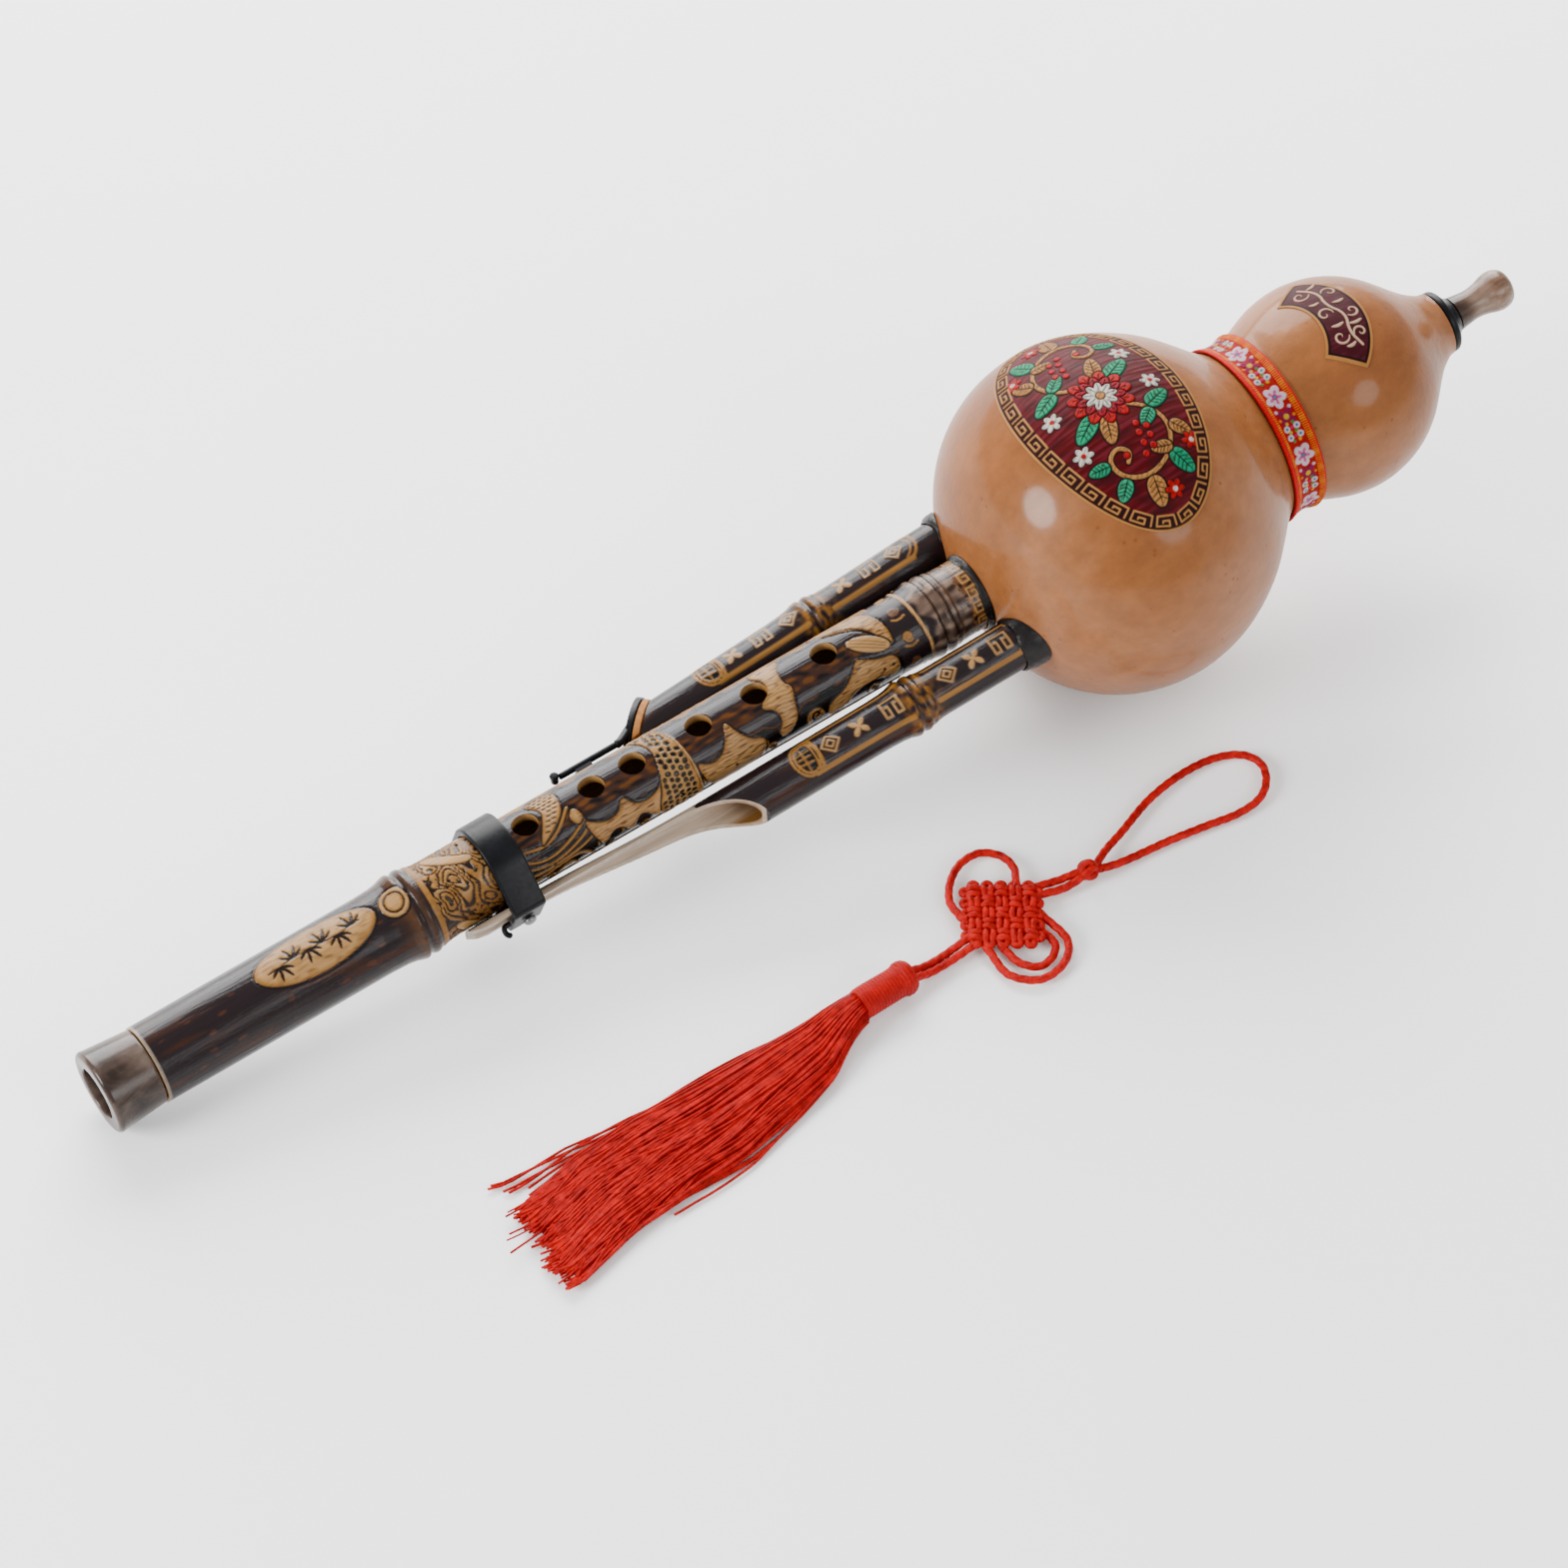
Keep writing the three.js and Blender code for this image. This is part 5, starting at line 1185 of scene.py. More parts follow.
def paint_pipe():
    """Carves and paints the melody pipe; the walls of its holes and bore show bare bamboo, darker deeper in as painted
    shade and paler at the holes' rims as a painted highlight.
    """
    co = turn_back(points_of(pipe))
    radius = np.hypot(co[:, 1], co[:, 2])
    on_face = radius > pipe_radius(co[:, 0]) - 0.2
    turn = wall_turn(co[:, 1], co[:, 2])
    lower = co[:, 0] < 126
    half = PIPE_UP * np.pi / 2
    arc = np.where(lower, PIPE_LOW * turn, (PIPE_UP * turn + half) % (2 * half) - half)
    p = Paint(co[:, 0], arc, LACQUER)
    carve_upper(p)
    carve_end(p)
    carve_lower(p)
    lift = np.where(on_face & (co[:, 0] > 16) & ((co[:, 0] < 118) | (co[:, 0] > 132)), p.height, 0)
    lift *= np.clip((286 - co[:, 0]) / 4, 0, 1)
    grow = 1 + lift / np.maximum(radius, 1)
    co[:, 1:] *= grow[:, None]
    move_points(pipe, place(co))
    mid = turn_back(face_middles(pipe))
    inside = np.hypot(mid[:, 1], mid[:, 2]) < pipe_radius(mid[:, 0]) - 0.6
    # the holes' walls and the bore: darker deeper down, painted shade; paler at the holes' rims, a painted highlight
    walls = np.tile(np.array([*linear("#c89b70"), 0.3]), (len(co), 1))
    tint_points(walls, np.clip((9.6 - radius) / 2.5, 0, 1), "#7d5a3a")
    tint_points(walls, np.clip((radius - 9.9) / 0.5, 0, 1), "#dcb78e")
    show_paint(pipe, with_gold(p), inside, walls)


ORNAMENTS = ("lozenge", "floret", "fret")


def ornament(p, kind, at, tone):
    """One small gold figure about 6 mm across."""
    u, v = at
    ink = dict(colour=tone, height=0.18, gold=1)
    if kind == "fret":
        for side in (-1, 1):
            p.stroke([(u + side * 2.6, v - 2.4), (u + side * 2.6, v + 2.4), (u + side * 0.9, v + 2.4),
                      (u + side * 0.9, v - 0.6), (u + side * 1.8, v - 0.6)], 0.5, smooth=0, **ink)
        p.stroke([(u - 2.6, v - 2.4), (u + 2.6, v - 2.4)], 0.5, smooth=0, **ink)
    elif kind == "lozenge":
        p.stroke([(u - 2.9, v), (u, v - 2.7), (u + 2.9, v), (u, v + 2.7)], 0.5, smooth=0, closed=True, **ink)
        p.stroke([(u - 1.3, v), (u, v - 1.2), (u + 1.3, v), (u, v + 1.2)], 0.45, smooth=0, closed=True, **ink)
    else:
        for a in angles(4, math.pi / 4):
            p.oval(polar(at, a, 1.75), 1.35, 0.78, a, **ink)
        p.disc((u, v), 0.62, **ink)


def paint_drone(piece, name, edge_line, low_line, first, last, figures, across):
    """Gold lines from first to last, with small figures between them, and painted highlights on the node's ridges; the
    cut mouth shows raw bamboo, with painted shade deeper in its bore.
    """
    d = DRONES[name]
    co = turn_back(points_of(piece))
    x, out, up = drone_local(d, co)
    radius = np.hypot(out, up)
    y, z, _ = drone_frame(d, x)
    arc = DRONE_R * wall_turn(co[:, 1] - y, co[:, 2] - z)
    on_face = radius > drone_outer(d, x) - 0.25
    p = Paint(x, arc, LACQUER)
    p.mottle(np.arange(len(x)), 4, 41, 0.45, -0.3, 0.5, 8, colour=RUST)
    ends = dict(colour=GOLD, height=0.12, gold=1)
    for level, wide in ((edge_line, 0.9), (low_line, 1.5)):
        p.stroke([(first + 4, level), (d["node"] - 4.5, level)], wide, smooth=0, **ends)
        p.stroke([(d["node"] + 4.5, level), (last - 3, level)], wide, smooth=0, **ends)
    centre = (edge_line + low_line) / 2
    half = (low_line - edge_line) / 2
    p.oval((first + 3.4, centre), 4.6, half, 0, colour=BLACK, height=-0.1)
    for k in (0, 1):
        rim = oval_distance(x, arc, (first + 3.4, centre), 4.4 - 1.0 * k, half - 0.9 * k)
        ring = np.flatnonzero((np.abs(rim) < 1.2) & (x < first + 7))
        p.lay(ring, 1 - np.clip((np.abs(rim[ring]) - 0.25) / 0.2, 0, 1), **ends)
    for k, wide in ((5.2, 0.55), (6.5, 0.9)):
        p.stroke([(first + k, edge_line), (first + k + 0.5, centre), (first + k, low_line)], wide, smooth=1, **ends)
    for k in (-1, 0, 1):
        p.stroke([(first + 0.6, centre + 1.5 * k), (first + 4.6, centre + 1.7 * k)], 0.42, smooth=0, **ends)
    p.stroke([(first + 2.6, centre - half + 0.8), (first + 2.6, centre + half - 0.8)], 0.42, smooth=0, **ends)
    p.stroke([(last - 3.2, edge_line), (last - 0.9, edge_line + 1.6), (last, centre), (last - 0.9, low_line - 1.6),
              (last - 3.2, low_line)], 0.8, smooth=2, **ends)
    p.stroke([(last - 4.6, edge_line + 0.9), (last - 2.3, edge_line + 2.4), (last - 1.6, centre),
              (last - 2.3, low_line - 2.4), (last - 4.6, low_line - 0.9)], 0.5, smooth=2, **ends)
    for i, at in enumerate(figures):
        ornament(p, ORNAMENTS[(i + (name == "far")) % 3], (at, across), PALE_GOLD)
    # lighter brown on the node's ridges: a painted highlight
    node = np.flatnonzero(np.abs(x - d["node"]) < 7)
    offset = x[node] - d["node"]
    tone = np.interp(offset, [-7, -4.4, -3.6, -2.4, -1.2, -0.2, 0.9, 2.2, 4, 7],
                     [0, 0.5, 0.75, 0.1, 0.3, 0.75, 0.3, 0.8, 0.2, 0])
    mottle = np.clip(0.6 + 0.5 * speckle(x[node], arc[node], 2.4, 53), 0, 1)
    p.lay(node, tone * mottle, colour="#a9794a", gold=0.6)
    lift = np.where(on_face & (x > 200) & (x < 286), p.height, 0)
    shift = (lift / np.maximum(radius, 1))[:, None]
    centre_line = np.stack([y, z], 1)
    co[:, 1:] += (co[:, 1:] - centre_line) * shift
    move_points(piece, place(co))
    mid = turn_back(face_middles(piece))
    mx, mout, mup = drone_local(d, mid)
    bare = np.hypot(mout, mup) < drone_outer(d, mx) - 0.35
    bare |= (mx < 181) & (mout > (-6.3 if name == "near" else -5.2))
    raw = np.tile(np.array([*linear("#d6c3b0"), 0.6]), (len(co), 1))
    fibre = 1 + 0.05 * speckle(x, out, 1.2, 61, 14) + 0.03 * speckle(x, up, 0.7, 62, 20)
    raw[:, :3] *= fibre[:, None]
    # the bore turns brown deeper into the mouth: painted shade
    deep_bore_shade = np.clip((DRONE_BORE + 0.5 - radius) / 0.4, 0, 1) * np.clip((x - 187.5) / 4, 0, 1)
    tint_points(raw, deep_bore_shade, "#8f6b49")
    show_paint(piece, with_gold(p), bare, raw)


paint_pipe()
paint_drone(near_drone, "near", -8.1, 2.8, 210.6, 285.6, (221.6, 230.9, 241.4, 259.6, 268.2, 277), -2.7)
paint_drone(far_drone, "far", -11.4, -0.9, 204.6, 277.6, (215.8, 225.4, 234.6, 253, 262, 270.6), -6.0)


# ---------------------------------------------------------------- painted panels on the gourd
MAROON, TAN, INK = "#55161a", "#c4946a", "#1d0b0d"


def on_gourd(x, q, lift, across):
    """A place over the gourd's skin; q is an arc length measured at the radius across."""
    turn = q / across
    r = gourd_radius(x) + lift
    return place(np.stack([x, -r * np.sin(turn), r * np.cos(turn)], -1))


def panel(name, x, q, across, paint, rows, cols, wrap):
    """A thin closed body over the skin, from a grid of stations and arc lengths, carved and painted."""
    top = on_gourd(x, q, 0.16 + paint.height, across)
    bottom = on_gourd(x, q, -0.5, across)
    count = rows * cols
    faces = [grid_faces(rows, cols, False, wrap), grid_faces(rows, cols, False, wrap, count)[:, ::-1]]
    j, i = np.arange(cols), np.arange(rows)
    if wrap:
        faces += [j[None], (count + j)[None, ::-1]]
        edge = (rows - 1) * cols + np.r_[j, 0]
    else:
        edge = np.r_[j, i[1:] * cols + cols - 1, (rows - 1) * cols + j[-2::-1], i[-2::-1] * cols][::-1]
    faces.append(np.stack([edge[:-1], edge[1:], edge[1:] + count, edge[:-1] + count], 1))
    piece = build(name, np.vstack([top, bottom]), faces)
    values = with_gold(paint)
    settle(piece, None)
    show_paint(piece, np.vstack([values, values]))
    crease(piece, 60)
    return piece


def outlined(p, corners, colour, **what):
    """A raised motif with a dark outline cut round it."""
    p.polygon(corners, grow=0.55, colour=INK, height=0.0)
    p.polygon(corners, colour=colour, height=0.32, **what)


MID, ACROSS, ALONG = (328.6, -1.0), 24.4, 44.0
ring_share = np.linspace(0.004, 1, 176)
spoke = circle(760)
mx = (MID[0] + ACROSS * ring_share[:, None] * np.cos(spoke)).ravel()
mq = (MID[1] + ALONG * ring_share[:, None] * np.sin(spoke)).ravel()
art = Paint(mx, mq, MAROON)
grain = speckle(mx, mq, 1.6, 71, 9)
everywhere = np.arange(len(mx))
art.lay(everywhere, np.clip(grain * 0.35 + 0.1, 0, 0.6), colour="#74303a")
art.mottle(everywhere, 5, 72, -0.4, 0, 0.6, 2, colour="#331016")
art.height += 0.04 * np.clip(grain, -1, 1)

# scrolling vine, the same from both sides of a large blossom in the middle
GREEN, LIGHT_GREEN, CREAM, RED, ROSE = "#3fa57e", "#57b48d", "#efe9df", "#b5323c", "#98283a"
# places from the medallion's middle, for one of its two halves
VINE = [(3, 5), (9.5, 9.5), (11.6, 17), (7, 24.4), (-1.5, 27.6), (-8.6, 24.6), (-10, 18.6), (-6, 15.8), (-3, 18.8),
        (-5.2, 21.2)]
LEAVES = [(9.4, 9.2, -0.35, 8.2, 2.5, GREEN), (9.6, 10.4, 2.5, 6.4, 2.0, LIGHT_GREEN),
          (11.8, 16.6, 0.95, 6.6, 2.2, TAN), (7.4, 24, 1.25, 8.6, 2.6, GREEN), (8.4, 22.8, 3.4, 6.2, 1.9, TAN),
          (-1.4, 27.8, 1.75, 8.8, 2.7, TAN), (-8, 25.2, 2.3, 6.4, 2.1, LIGHT_GREEN),
          (-10.2, 19.6, 3.3, 5.8, 1.9, GREEN), (-2.6, 6.2, 1.95, 9, 2.4, TAN), (-5.4, 4.6, 2.6, 9.4, 2.6, GREEN)]
FLORETS = [(15.2, 1.6, CREAM, RED), (-14.4, 13, CREAM, RED), (2.4, 33.8, RED, CREAM), (14.4, 24, RED, CREAM)]
BERRIES = [(3, 12.6), (5.2, 14.6), (2.2, 15.4), (4.6, 17.4), (1.6, 18.6), (3.6, 20.4), (0.4, 21.6), (-4.6, 19.4)]


def leaf(p, root, heading, length, width, colour):
    """Pointed leaf with its veins, from its root along a heading."""
    s = np.linspace(0, np.pi, 14)
    along, out = length * (1 - np.cos(s)) / 2, width * np.sin(s) ** 0.9
    along = np.r_[along, along[-2:0:-1]]
    out = np.r_[out, -out[-2:0:-1]] * (1.15 - 0.4 * along / length)
    c, n = math.cos(heading), math.sin(heading)

    def at(u, v):
        return root[0] + u * c - v * n, root[1] + u * n + v * c

    outlined(p, [at(u, v) for u, v in zip(along, out)], colour)
    p.stroke([root, at(length * 0.93, 0)], 0.4, taper=True, colour=INK, height=0.1)
    for k in range(1, 5):
        for side in (-1, 1):
            p.stroke([at(length * k * 0.17, 0), at(length * (k * 0.17 + 0.14), side * width * 0.75)], 0.26,
                     colour=INK, height=0.12)


for turn in (1, -1):
    def spot(u, v):
        return MID[0] + turn * u, MID[1] + turn * v

    lean = 0 if turn == 1 else math.pi
    vine = [spot(*at) for at in VINE]
    art.stroke(vine, 2.0, colour=INK, height=0)
    art.stroke(vine, 1.15, colour=TAN, height=0.3)
    for u, v, heading, length, width, colour in LEAVES:
        leaf(art, spot(u, v), heading + lean, length, width, colour)
    for u, v, colour, heart in FLORETS:
        centre = spot(u, v)
        for a in angles(6, lean + 0.3):
            art.oval(polar(centre, a, 1.75), 1.5, 1.0, a, colour=INK, height=0)
        for a in angles(6, lean + 0.3):
            art.oval(polar(centre, a, 1.65), 1.25, 0.75, a, colour=colour, height=0.3)
        art.disc(centre, 0.75, colour=heart, height=0.32)
    for berry in BERRIES:
        art.disc(spot(*berry), 1.2, colour=INK, height=0)
        art.disc(spot(*berry), 0.92, colour="#bd3a42", height=0.3)

# large blossom in the middle: rows of red, rose and cream petals round a tan heart
for count, reach, half_long, half_wide, colour, start in (
        (11, 6.4, 3.0, 1.75, RED, 0.1), (11, 4.6, 2.4, 1.3, ROSE, 0.39), (9, 2.9, 1.9, 1.0, CREAM, 0.2)):
    for grow, tone, height in ((0.35, INK, 0.0), (0, colour, 0.32)):
        for a in angles(count, start):
            art.oval(polar(MID, a, reach), half_long + grow, half_wide + grow, a, colour=tone, height=height)
    for a in angles(count, start):
        art.stroke([polar(MID, a, reach - 1), polar(MID, a, reach + 1.4)], 0.24, colour=INK, height=0.15)
art.disc(MID, 1.5, colour=INK, height=0)
art.disc(MID, 1.2, colour=TAN, height=0.34)

# engraved lines and rubbed paint over all the raised motifs
raised = np.flatnonzero(art.height > 0.2)
waver = 1.2 * speckle(mx[raised], mq[raised], 5, 73)
lines = np.cos(2 * np.pi * (mq[raised] * 0.75 + mx[raised] * 0.55) / 1.25 + waver)
art.lay(raised, np.clip(lines * 0.6 - 0.12, 0, 0.42), colour="#3a1a14", lift=-0.1)
art.mottle(raised, 2.2, 74, 0.5, -0.35, 0.5, colour="#40201a")

# border of fretwork
depth = -oval_distance(mx, mq, MID, ACROSS, ALONG)
rim = np.flatnonzero(depth < 4.6)
art.lay(rim, np.clip((4.5 - depth[rim]) / 0.2, 0, 1), colour="#2b1013", height=0)
art.lay(rim, 1 - np.clip((depth[rim] - 0.4) / 0.2, 0, 1), colour=TAN, height=0.15)
angle = np.linspace(0, 2 * np.pi, 2000)
line = np.stack([MID[0] + ACROSS * np.cos(angle), MID[1] + ALONG * np.sin(angle)], 1)
length = np.r_[0, np.cumsum(np.hypot(*np.diff(line, axis=0).T))]
FRETS = 27
for k in range(FRETS):
    step = length[-1] / FRETS
    points = []
    for share_at, inward in ((0.02, 1.3), (0.02, 4.1), (0.8, 4.1), (0.8, 1.4), (0.28, 1.4), (0.28, 2.9), (0.55, 2.9),
                             (0.55, 2.4)):
        a = np.interp((k + share_at) * step, length, angle)
        normal = np.array([math.cos(a) / ACROSS, math.sin(a) / ALONG])
        normal /= np.linalg.norm(normal)
        points.append(np.array(polar(MID, a, ACROSS, ALONG)) - inward * normal)
    art.stroke(points, 0.52, soft=0.2, smooth=0, colour=TAN, height=0.22)
medallion = panel("bulb_medallion", mx, mq, BULB_R, art, len(ring_share), len(spoke), True)

# fan-shaped panel on the crown: a tan scroll of leaves
OUTER, INNER = (390.7, -0.5, 23.8), (382.0, -1.5, 18.2)
across_steps, along_steps = 74, 190
ends = [0, along_steps - 1]
outer_turn = np.interp(np.arange(along_steps), ends, [-0.94, 0.96])
inner_turn = np.interp(np.arange(along_steps), ends, [-0.72, 0.73])
outer_line, inner_line = (np.stack([x + r * np.cos(turn), q + r * np.sin(turn)], 1)
                          for (x, q, r), turn in ((OUTER, outer_turn), (INNER, inner_turn)))
w = np.linspace(0, 1, across_steps)[:, None, None]
grid = inner_line[None] * (1 - w) + outer_line[None] * w
fx, fq = grid[..., 0].ravel(), grid[..., 1].ravel()
fan_art = Paint(fx, fq, "#43181f")
everywhere = np.arange(len(fx))
fan_art.mottle(everywhere, 1.6, 81, 0.3, 0.1, 0.5, 6, colour="#5f2c38")
border = np.vstack([inner_line, outer_line[::-1]])
depth = -polygon_distance(fx, fq, border[::6])
fan_art.lay(everywhere, 1 - np.clip((depth - 0.55) / 0.25, 0, 1), colour="#b98a62", height=0.15)
fan_art.lay(everywhere, 1 - np.clip((np.abs(depth - 1.1) - 0.25) / 0.2, 0, 1), colour=INK)
scroll = dict(colour="#dcc0a6", height=0.25)
fan_art.stroke([(403.6, -14.6), (407, -9), (405.6, -3.4), (408.6, 2), (405.8, 7.6), (407, 12.6)], 0.75, **scroll)
for centre, r, first, side in (((402.4, -11.6), 2.6, 0.4, 1), ((410, -8.2), 2.4, 3.4, 1), ((403.4, -0.6), 2.5, 0.2, -1),
                               ((410.8, 1.6), 2.2, 2.6, -1), ((402.8, 7.8), 2.5, 0.3, 1), ((408.8, 9), 2.1, 3.2, 1)):
    fan_art.stroke(swirl(centre, r, 1.05, first, side), 0.62, smooth=1, taper=True, **scroll)
for a, b in (((405.6, -13), (409, -14.6)), ((404.6, -5.6), (401.8, -6.2)), ((408, -3.4), (411.6, -3.6)),
             ((406, 4.2), (402.4, 3.8)), ((407.6, 5.4), (411.6, 5.4)), ((405.6, 11), (402.6, 11))):
    middle = ((a[0] + b[0]) / 2, (a[1] + b[1]) / 2 + 0.5)
    fan_art.stroke([a, middle, b], 0.9, taper=True, **scroll)
fan_panel = panel("crown_fan", fx, fq, CROWN_R, fan_art, across_steps, along_steps, False)

for piece in (medallion, fan_panel):
    look = painted_look(piece.name + "_paint", dull=0.55, gloss=0.55, grain=(500, 90, 90), grain_share=0.12,
                        depth=0.00005, shine=0.06)
    wear(piece, look)


# ---------------------------------------------------------------- ferrule
FERRULE, LIP, SLEEVE_R = 15.5, 3.2, 9.5      # its length, its open end's depth and the turned-down pipe's seat
FOOT_R, RIM_R, ROUND = 12.3, 11.0, 1.4
quarter = np.linspace(math.pi / 2, math.pi, 9)
taper = np.linspace(FERRULE - 1, ROUND + 0.5, 12)
outline = np.vstack([
    [(0.0, 7.9), (0.15, PIPE_BORE + 0.15), (0.6, PIPE_BORE), (LIP, PIPE_BORE), (LIP, SLEEVE_R)],
    [(FERRULE, SLEEVE_R), (FERRULE, RIM_R - 0.3), (FERRULE - 0.3, RIM_R)],
    np.stack([taper, FOOT_R + (RIM_R - FOOT_R) * taper / FERRULE], 1),
    np.stack([ROUND + ROUND * np.cos(quarter), FOOT_R - ROUND + 1.36 * np.sin(quarter)], 1),
])
points, quads = turned(outline, 128)
ferrule = instrument_piece("ferrule_horn", points, [quads], "end_ferrule", sharp=50)


# ---------------------------------------------------------------- clamp band, screw and hook
def band_supports(sides=220):
    """The line that a band stretched round the pipes follows, and its outward directions."""
    floor = TONGUE - DRONE_R
    chord = math.sqrt(DRONE_R ** 2 - floor ** 2)
    discs = [(0.0, 0.0, PIPE_LOW)]
    for d in DRONES.values():
        for up in (-chord, chord):
            discs.append((*drone_point(d, MID_BAND, floor, up)[1:], 0.0))
    discs = np.array(discs)
    n = np.stack([np.cos(circle(sides)), np.sin(circle(sides))], 1)
    best = np.argmax(n @ discs[:, :2].T + discs[:, 2], 1)
    return discs[best, :2] + n * discs[best, 2:], n


BAND_GAP, BAND_THICK = 0.3, 1.9
base_line, outward = band_supports()
low, high = BAND_GAP, BAND_GAP + BAND_THICK
section = softened([(BAND, low), (BAND, high), (BAND_END, high), (BAND_END, low)], 0.7, 5)
rings = [np.column_stack([np.full(len(base_line), x), base_line + outward * out]) for x, out in section]
band = instrument_piece("band", np.array(rings), [grid_faces(len(section), len(base_line), True)], "clamp_band",
                        sharp=40)

near = DRONES["near"]
seat = TONGUE - DRONE_R + 2 * BAND_GAP + BAND_THICK
origin = drone_point(near, MID_BAND, seat, 0.0)
outward_dir = drone_point(near, MID_BAND, seat + 1, 0.0) - origin


def spun(origin, axis, profile, sides):
    """A closed form turned round any axis, from (along, radius) rows."""
    axis = np.asarray(axis, float)
    x = np.array([1.0, 0, 0]) if abs(axis[0]) < 0.9 else np.array([0, 1.0, 0])
    x = x - x @ axis * axis
    x /= np.linalg.norm(x)
    y = np.cross(axis, x)
    a = circle(sides)
    profile = np.asarray(profile, float)
    co = (np.asarray(origin) + profile[:, :1, None] * axis
          + profile[:, 1:, None] * (np.cos(a)[:, None] * x + np.sin(a)[:, None] * y))
    return co.reshape(-1, 3), [grid_faces(len(profile), sides), lids(len(profile), sides)]


head = softened([(-4.2, 0.02), (-4.2, 0.9), (0, 0.9), (0, 1.9), (0.9, 1.9), (1.6, 1.3), (1.8, 0.5), (1.8, 0.02)], 0.25)
points, faces = spun(origin, outward_dir, head, 48)
screw = instrument_piece("screw", points, faces, "band_screw", sharp=40)

HOOK = 2.2
out = seat - BAND_GAP - BAND_THICK / 2
hook_line = [drone_point(near, BAND - BAND_GAP + along * HOOK, out + rise * HOOK, 0.0)
             for along, rise in ((0, 0), (-0.9, 0.1), (-1.1, 0.9), (-0.6, 1.5))]
path = route(hook_line, 0.2)[0]
swell = np.full(len(path), 0.8)
swell[-3:] = 0.72, 0.6, 0.35
co, *faces = tube(path, swell, 20)
hook = instrument_piece("hook", co, faces, "tassel_hook")


# ---------------------------------------------------------------- seals
def make_seal(node, radius, distance, length, wall, seed, drone=None):
    """A lumpy ring of wax round a pipe, cut to sit on the gourd."""
    face = gourd_face(distance)
    start, hole = face - length, radius + FIT
    end = gourd_face(distance + radius + wall) + wall
    a = circle(96)
    flat = np.ones(96)
    lumps = 0.12 * np.sin(3 * a + seed) + 0.1 * np.sin(7 * a + 2 * seed)
    rows = [hole * flat, hole * flat]
    rows += [hole + wall * (share + np.minimum(lumps, 0.05)) for share in (0.42, 0.55, 0.95)]
    stations = [end * flat, start + 0.35 * np.sin(4 * a + seed)]
    stations += [(start + ahead) * flat for ahead in (0.4, length / 2, length)]
    for t in np.linspace(0.2, 1, 5):
        rows.append((hole + wall) * flat)
        stations.append(stations[4] + (end - stations[4]) * t)
    co = np.stack([np.array(stations), -np.array(rows) * np.sin(a), np.array(rows) * np.cos(a)], -1)
    if drone:
        co = leaned(drone, co)
    piece = build(node + "_wax", place(co), [grid_faces(len(rows), len(a), True)])
    skin_rows = np.vstack([(gourd_face(0.0, -0.3), 0.001), gourd_rows(-0.3, 46), (NECK_END + FIT, 0.001)])
    points, quads = turned(skin_rows, 256, False)
    cut(piece, [build("cutter", place(points), [quads, lids(len(skin_rows), 256)])])
    settle(piece, node)
    crease(piece, 50)
    return piece


far = DRONES["far"]
seals = [
    make_seal("melody_seal", PIPE_UP, 0.0, 1.2, 0.7, 0.3),
    make_seal("near_drone_seal", DRONE_R, math.hypot(*near["end"]), 3.4, 1.2, 1.3, near),
    make_seal("far_drone_seal", DRONE_R, math.hypot(*far["end"]), 1.2, 1.2, 2.1, far),
]


# ---------------------------------------------------------------- valve of the far drone
SLANT = math.pi / 4
mouth_mid = far["cut"][0] + DRONE_R - TONGUE


def far_shift(along, out, up):
    """An offset in the far drone's section at its mouth."""
    return drone_point(far, mouth_mid, out, up) - drone_point(far, mouth_mid, 0, 0) + np.array([along, 0, 0])


def slanted(name, node, offsets, margin, sides=120):
    """A closed disc parallel to the slanted mouth; offsets are (height, inset) rows."""
    long, wide = DRONE_R / math.sin(SLANT) + margin, DRONE_R + margin
    base = drone_point(far, mouth_mid, 0, 0)
    along = far_shift(math.cos(SLANT), math.sin(SLANT), 0)
    up = far_shift(0, 0, 1)
    normal = far_shift(-math.sin(SLANT), math.cos(SLANT), 0)
    a = circle(sides)
    rings = [base + h * normal + ((long - i) * np.cos(a))[:, None] * along + ((wide - i) * np.sin(a))[:, None] * up
             for h, i in offsets]
    piece = build(name, place(rings), [grid_faces(len(rings), sides), lids(len(rings), sides)])
    top, far_off = TONGUE - DRONE_R + 1, 22
    corners = [(-far_off, -far_off), (top, -far_off), (top, far_off), (-far_off, far_off)]
    co, *faces = capped([[base + far_shift(x, out, up) for out, up in corners] for x in (-far_off, far_off)])
    cut(piece, [build("cutter", place(co), faces)])
    settle(piece, node, "drone_valve")
    crease(piece, 40)
    return piece


ROD = (14.1 * math.cos(0.045), 14.1 * math.sin(0.045))      # the rod's line across the instrument
ROD_R, ROD_LONG, ROD_FIT = 0.95, 17.5, 0.3
KNOB_R, KNOB_HALF = 1.4, 1.6
CORK_LOW, CORK, PAD_GAP, PAD = 0.5, 1.9, 0.3, 1.8      # heights over the mouth and thicknesses
cork_top = CORK_LOW + CORK
pad_low = cork_top + PAD_GAP
pad_top = pad_low + PAD


def pad_back(out, share):
    """Station inside the pad's plate, out from the drone's middle, at a share of its thickness."""
    return mouth_mid + out / math.tan(SLANT) - (pad_low + PAD * share) / math.sin(SLANT)


y0, z0, turn0 = drone_frame(far, mouth_mid)
lug_out = (ROD[0] - y0) * math.cos(turn0) + (ROD[1] - z0) * math.sin(turn0)
LUG = float(pad_back(lug_out, 1) - 2.4)

